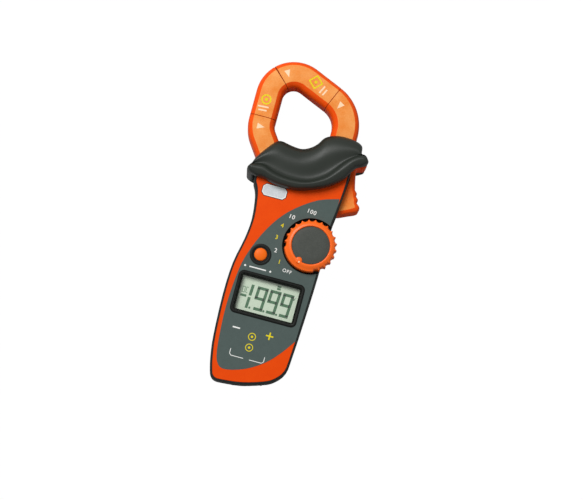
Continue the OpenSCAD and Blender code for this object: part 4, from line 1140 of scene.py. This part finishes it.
def floor_material():
    """Pale floor that the camera sees as white, with the object's soft shadow kept."""
    made = surface("floor", paint(172, 172, 172), paint(166, 166, 166), grain=4, mottle=60,
                   rough=(0.7, 0.8), bump=0.01)
    nodes, links = made.node_tree.nodes, made.node_tree.links
    glow = nodes.new("ShaderNodeEmission")
    glow.inputs["Strength"].default_value = FLOOR_GLOW
    both = nodes.new("ShaderNodeMixShader")
    sight = nodes.new("ShaderNodeLightPath")
    share = nodes.new("ShaderNodeMath")
    share.operation = "MULTIPLY"
    share.inputs[1].default_value = FLOOR_SEEN
    links.new(sight.outputs["Is Camera Ray"], share.inputs[0])
    links.new(share.outputs[0], both.inputs["Fac"])
    links.new(nodes["Principled BSDF"].outputs[0], both.inputs[1])
    links.new(glow.outputs[0], both.inputs[2])
    links.new(both.outputs[0], nodes["Material Output"].inputs["Surface"])
    return made


MATERIALS["floor"] = floor_material()
floor_mesh = bpy.data.meshes.new("floor")
floor_mesh.from_pydata([Vector((x, y, 0)) * FLOOR / 2 * MM for x, y in
                        ((-1, -1), (1, -1), (1, 1), (-1, 1))], [], [(0, 1, 2, 3)])
floor_mesh.materials.append(MATERIALS["floor"])
floor = placed("floor", floor_mesh)
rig.stage(floor)

# A soft square light that faces the object's middle
key_data = bpy.data.lights.new("key", "AREA")
key_data.shape = "SQUARE"
key_data.size = KEY_SIZE * MM
key_data.energy = KEY_POWER
key = placed("key", key_data)
key.location = Vector(KEY_PLACE) * MM
key.rotation_euler = (-Vector(KEY_PLACE)).to_track_quat("-Z", "Y").to_euler()


def backdrop():
    """A world that lights softly, and is white to the camera, in gloss and through glass."""
    made = bpy.data.worlds.new("world")
    made.use_nodes = True
    nodes, links = made.node_tree.nodes, made.node_tree.links
    background = nodes["Background"]
    background.inputs["Color"].default_value = (1, 1, 1, 1)
    sight = nodes.new("ShaderNodeLightPath")
    seen, seen_or_glass = nodes.new("ShaderNodeMath"), nodes.new("ShaderNodeMath")
    seen.operation = seen_or_glass.operation = "MAXIMUM"
    strength = nodes.new("ShaderNodeMapRange")
    strength.inputs["To Min"].default_value = AMBIENT
    strength.inputs["To Max"].default_value = 1
    links.new(sight.outputs["Is Camera Ray"], seen.inputs[0])
    links.new(sight.outputs["Is Glossy Ray"], seen.inputs[1])
    links.new(seen.outputs[0], seen_or_glass.inputs[0])
    links.new(sight.outputs["Is Transmission Ray"], seen_or_glass.inputs[1])
    links.new(seen_or_glass.outputs[0], strength.inputs["Value"])
    links.new(strength.outputs["Result"], background.inputs["Strength"])
    return made


bpy.context.scene.world = backdrop()
bpy.context.scene.view_settings.view_transform = "Standard"

# ---------------- where the points show
bpy.context.view_layer.update()
CLEAR_BY = 0.3  # a vertex shows when nothing lies further than this before it


def shown(objects):
    """The picture places of the finished vertices that nothing hides."""
    graph = bpy.context.evaluated_depsgraph_get()
    eye = camera.matrix_world.translation
    out = []
    for o in objects:
        for p in finished(o)[0]:
            along = p - eye
            hit, *_ = bpy.context.scene.ray_cast(graph, eye, along.normalized(),
                                                 distance=along.length - CLEAR_BY * MM)
            if not hit:
                out.append(pixel(p))
    return out


def middle_of(places):
    """The middle of the box round some picture places."""
    xs, ys = [p[0] for p in places], [p[1] for p in places]
    return (min(xs) + max(xs)) / 2, (min(ys) + max(ys)) / 2


report = {}
try:
    everything = shown([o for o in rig.pieces() if o.type == "MESH"])
    xs, ys = [p[0] for p in everything], [p[1] for p in everything]
    edges = {"left_edge": min(xs), "right_edge": max(xs), "top_edge": min(ys),
             "bottom_edge": max(ys)}
    for name, (x, y) in POINTS.items():
        if name in edges:
            report[name] = [round(edges[name] - (y if x is None else x), 2)]
        else:
            places = shown(named[name])
            spot = middle_of(places) if places else None
            report[name] = [round(spot[0] - x, 2), round(spot[1] - y, 2)] if spot else "hidden"
except Exception as trouble:
    report["trouble"] = str(trouble)
with open("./points.json", "w") as f:
    json.dump(report, f, indent=1)

low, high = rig.bounds()
with open("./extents.json", "w") as f:
    json.dump({"cad": [list(cad_low), list(cad_high)], "visual": [list(low), list(high)]}, f)
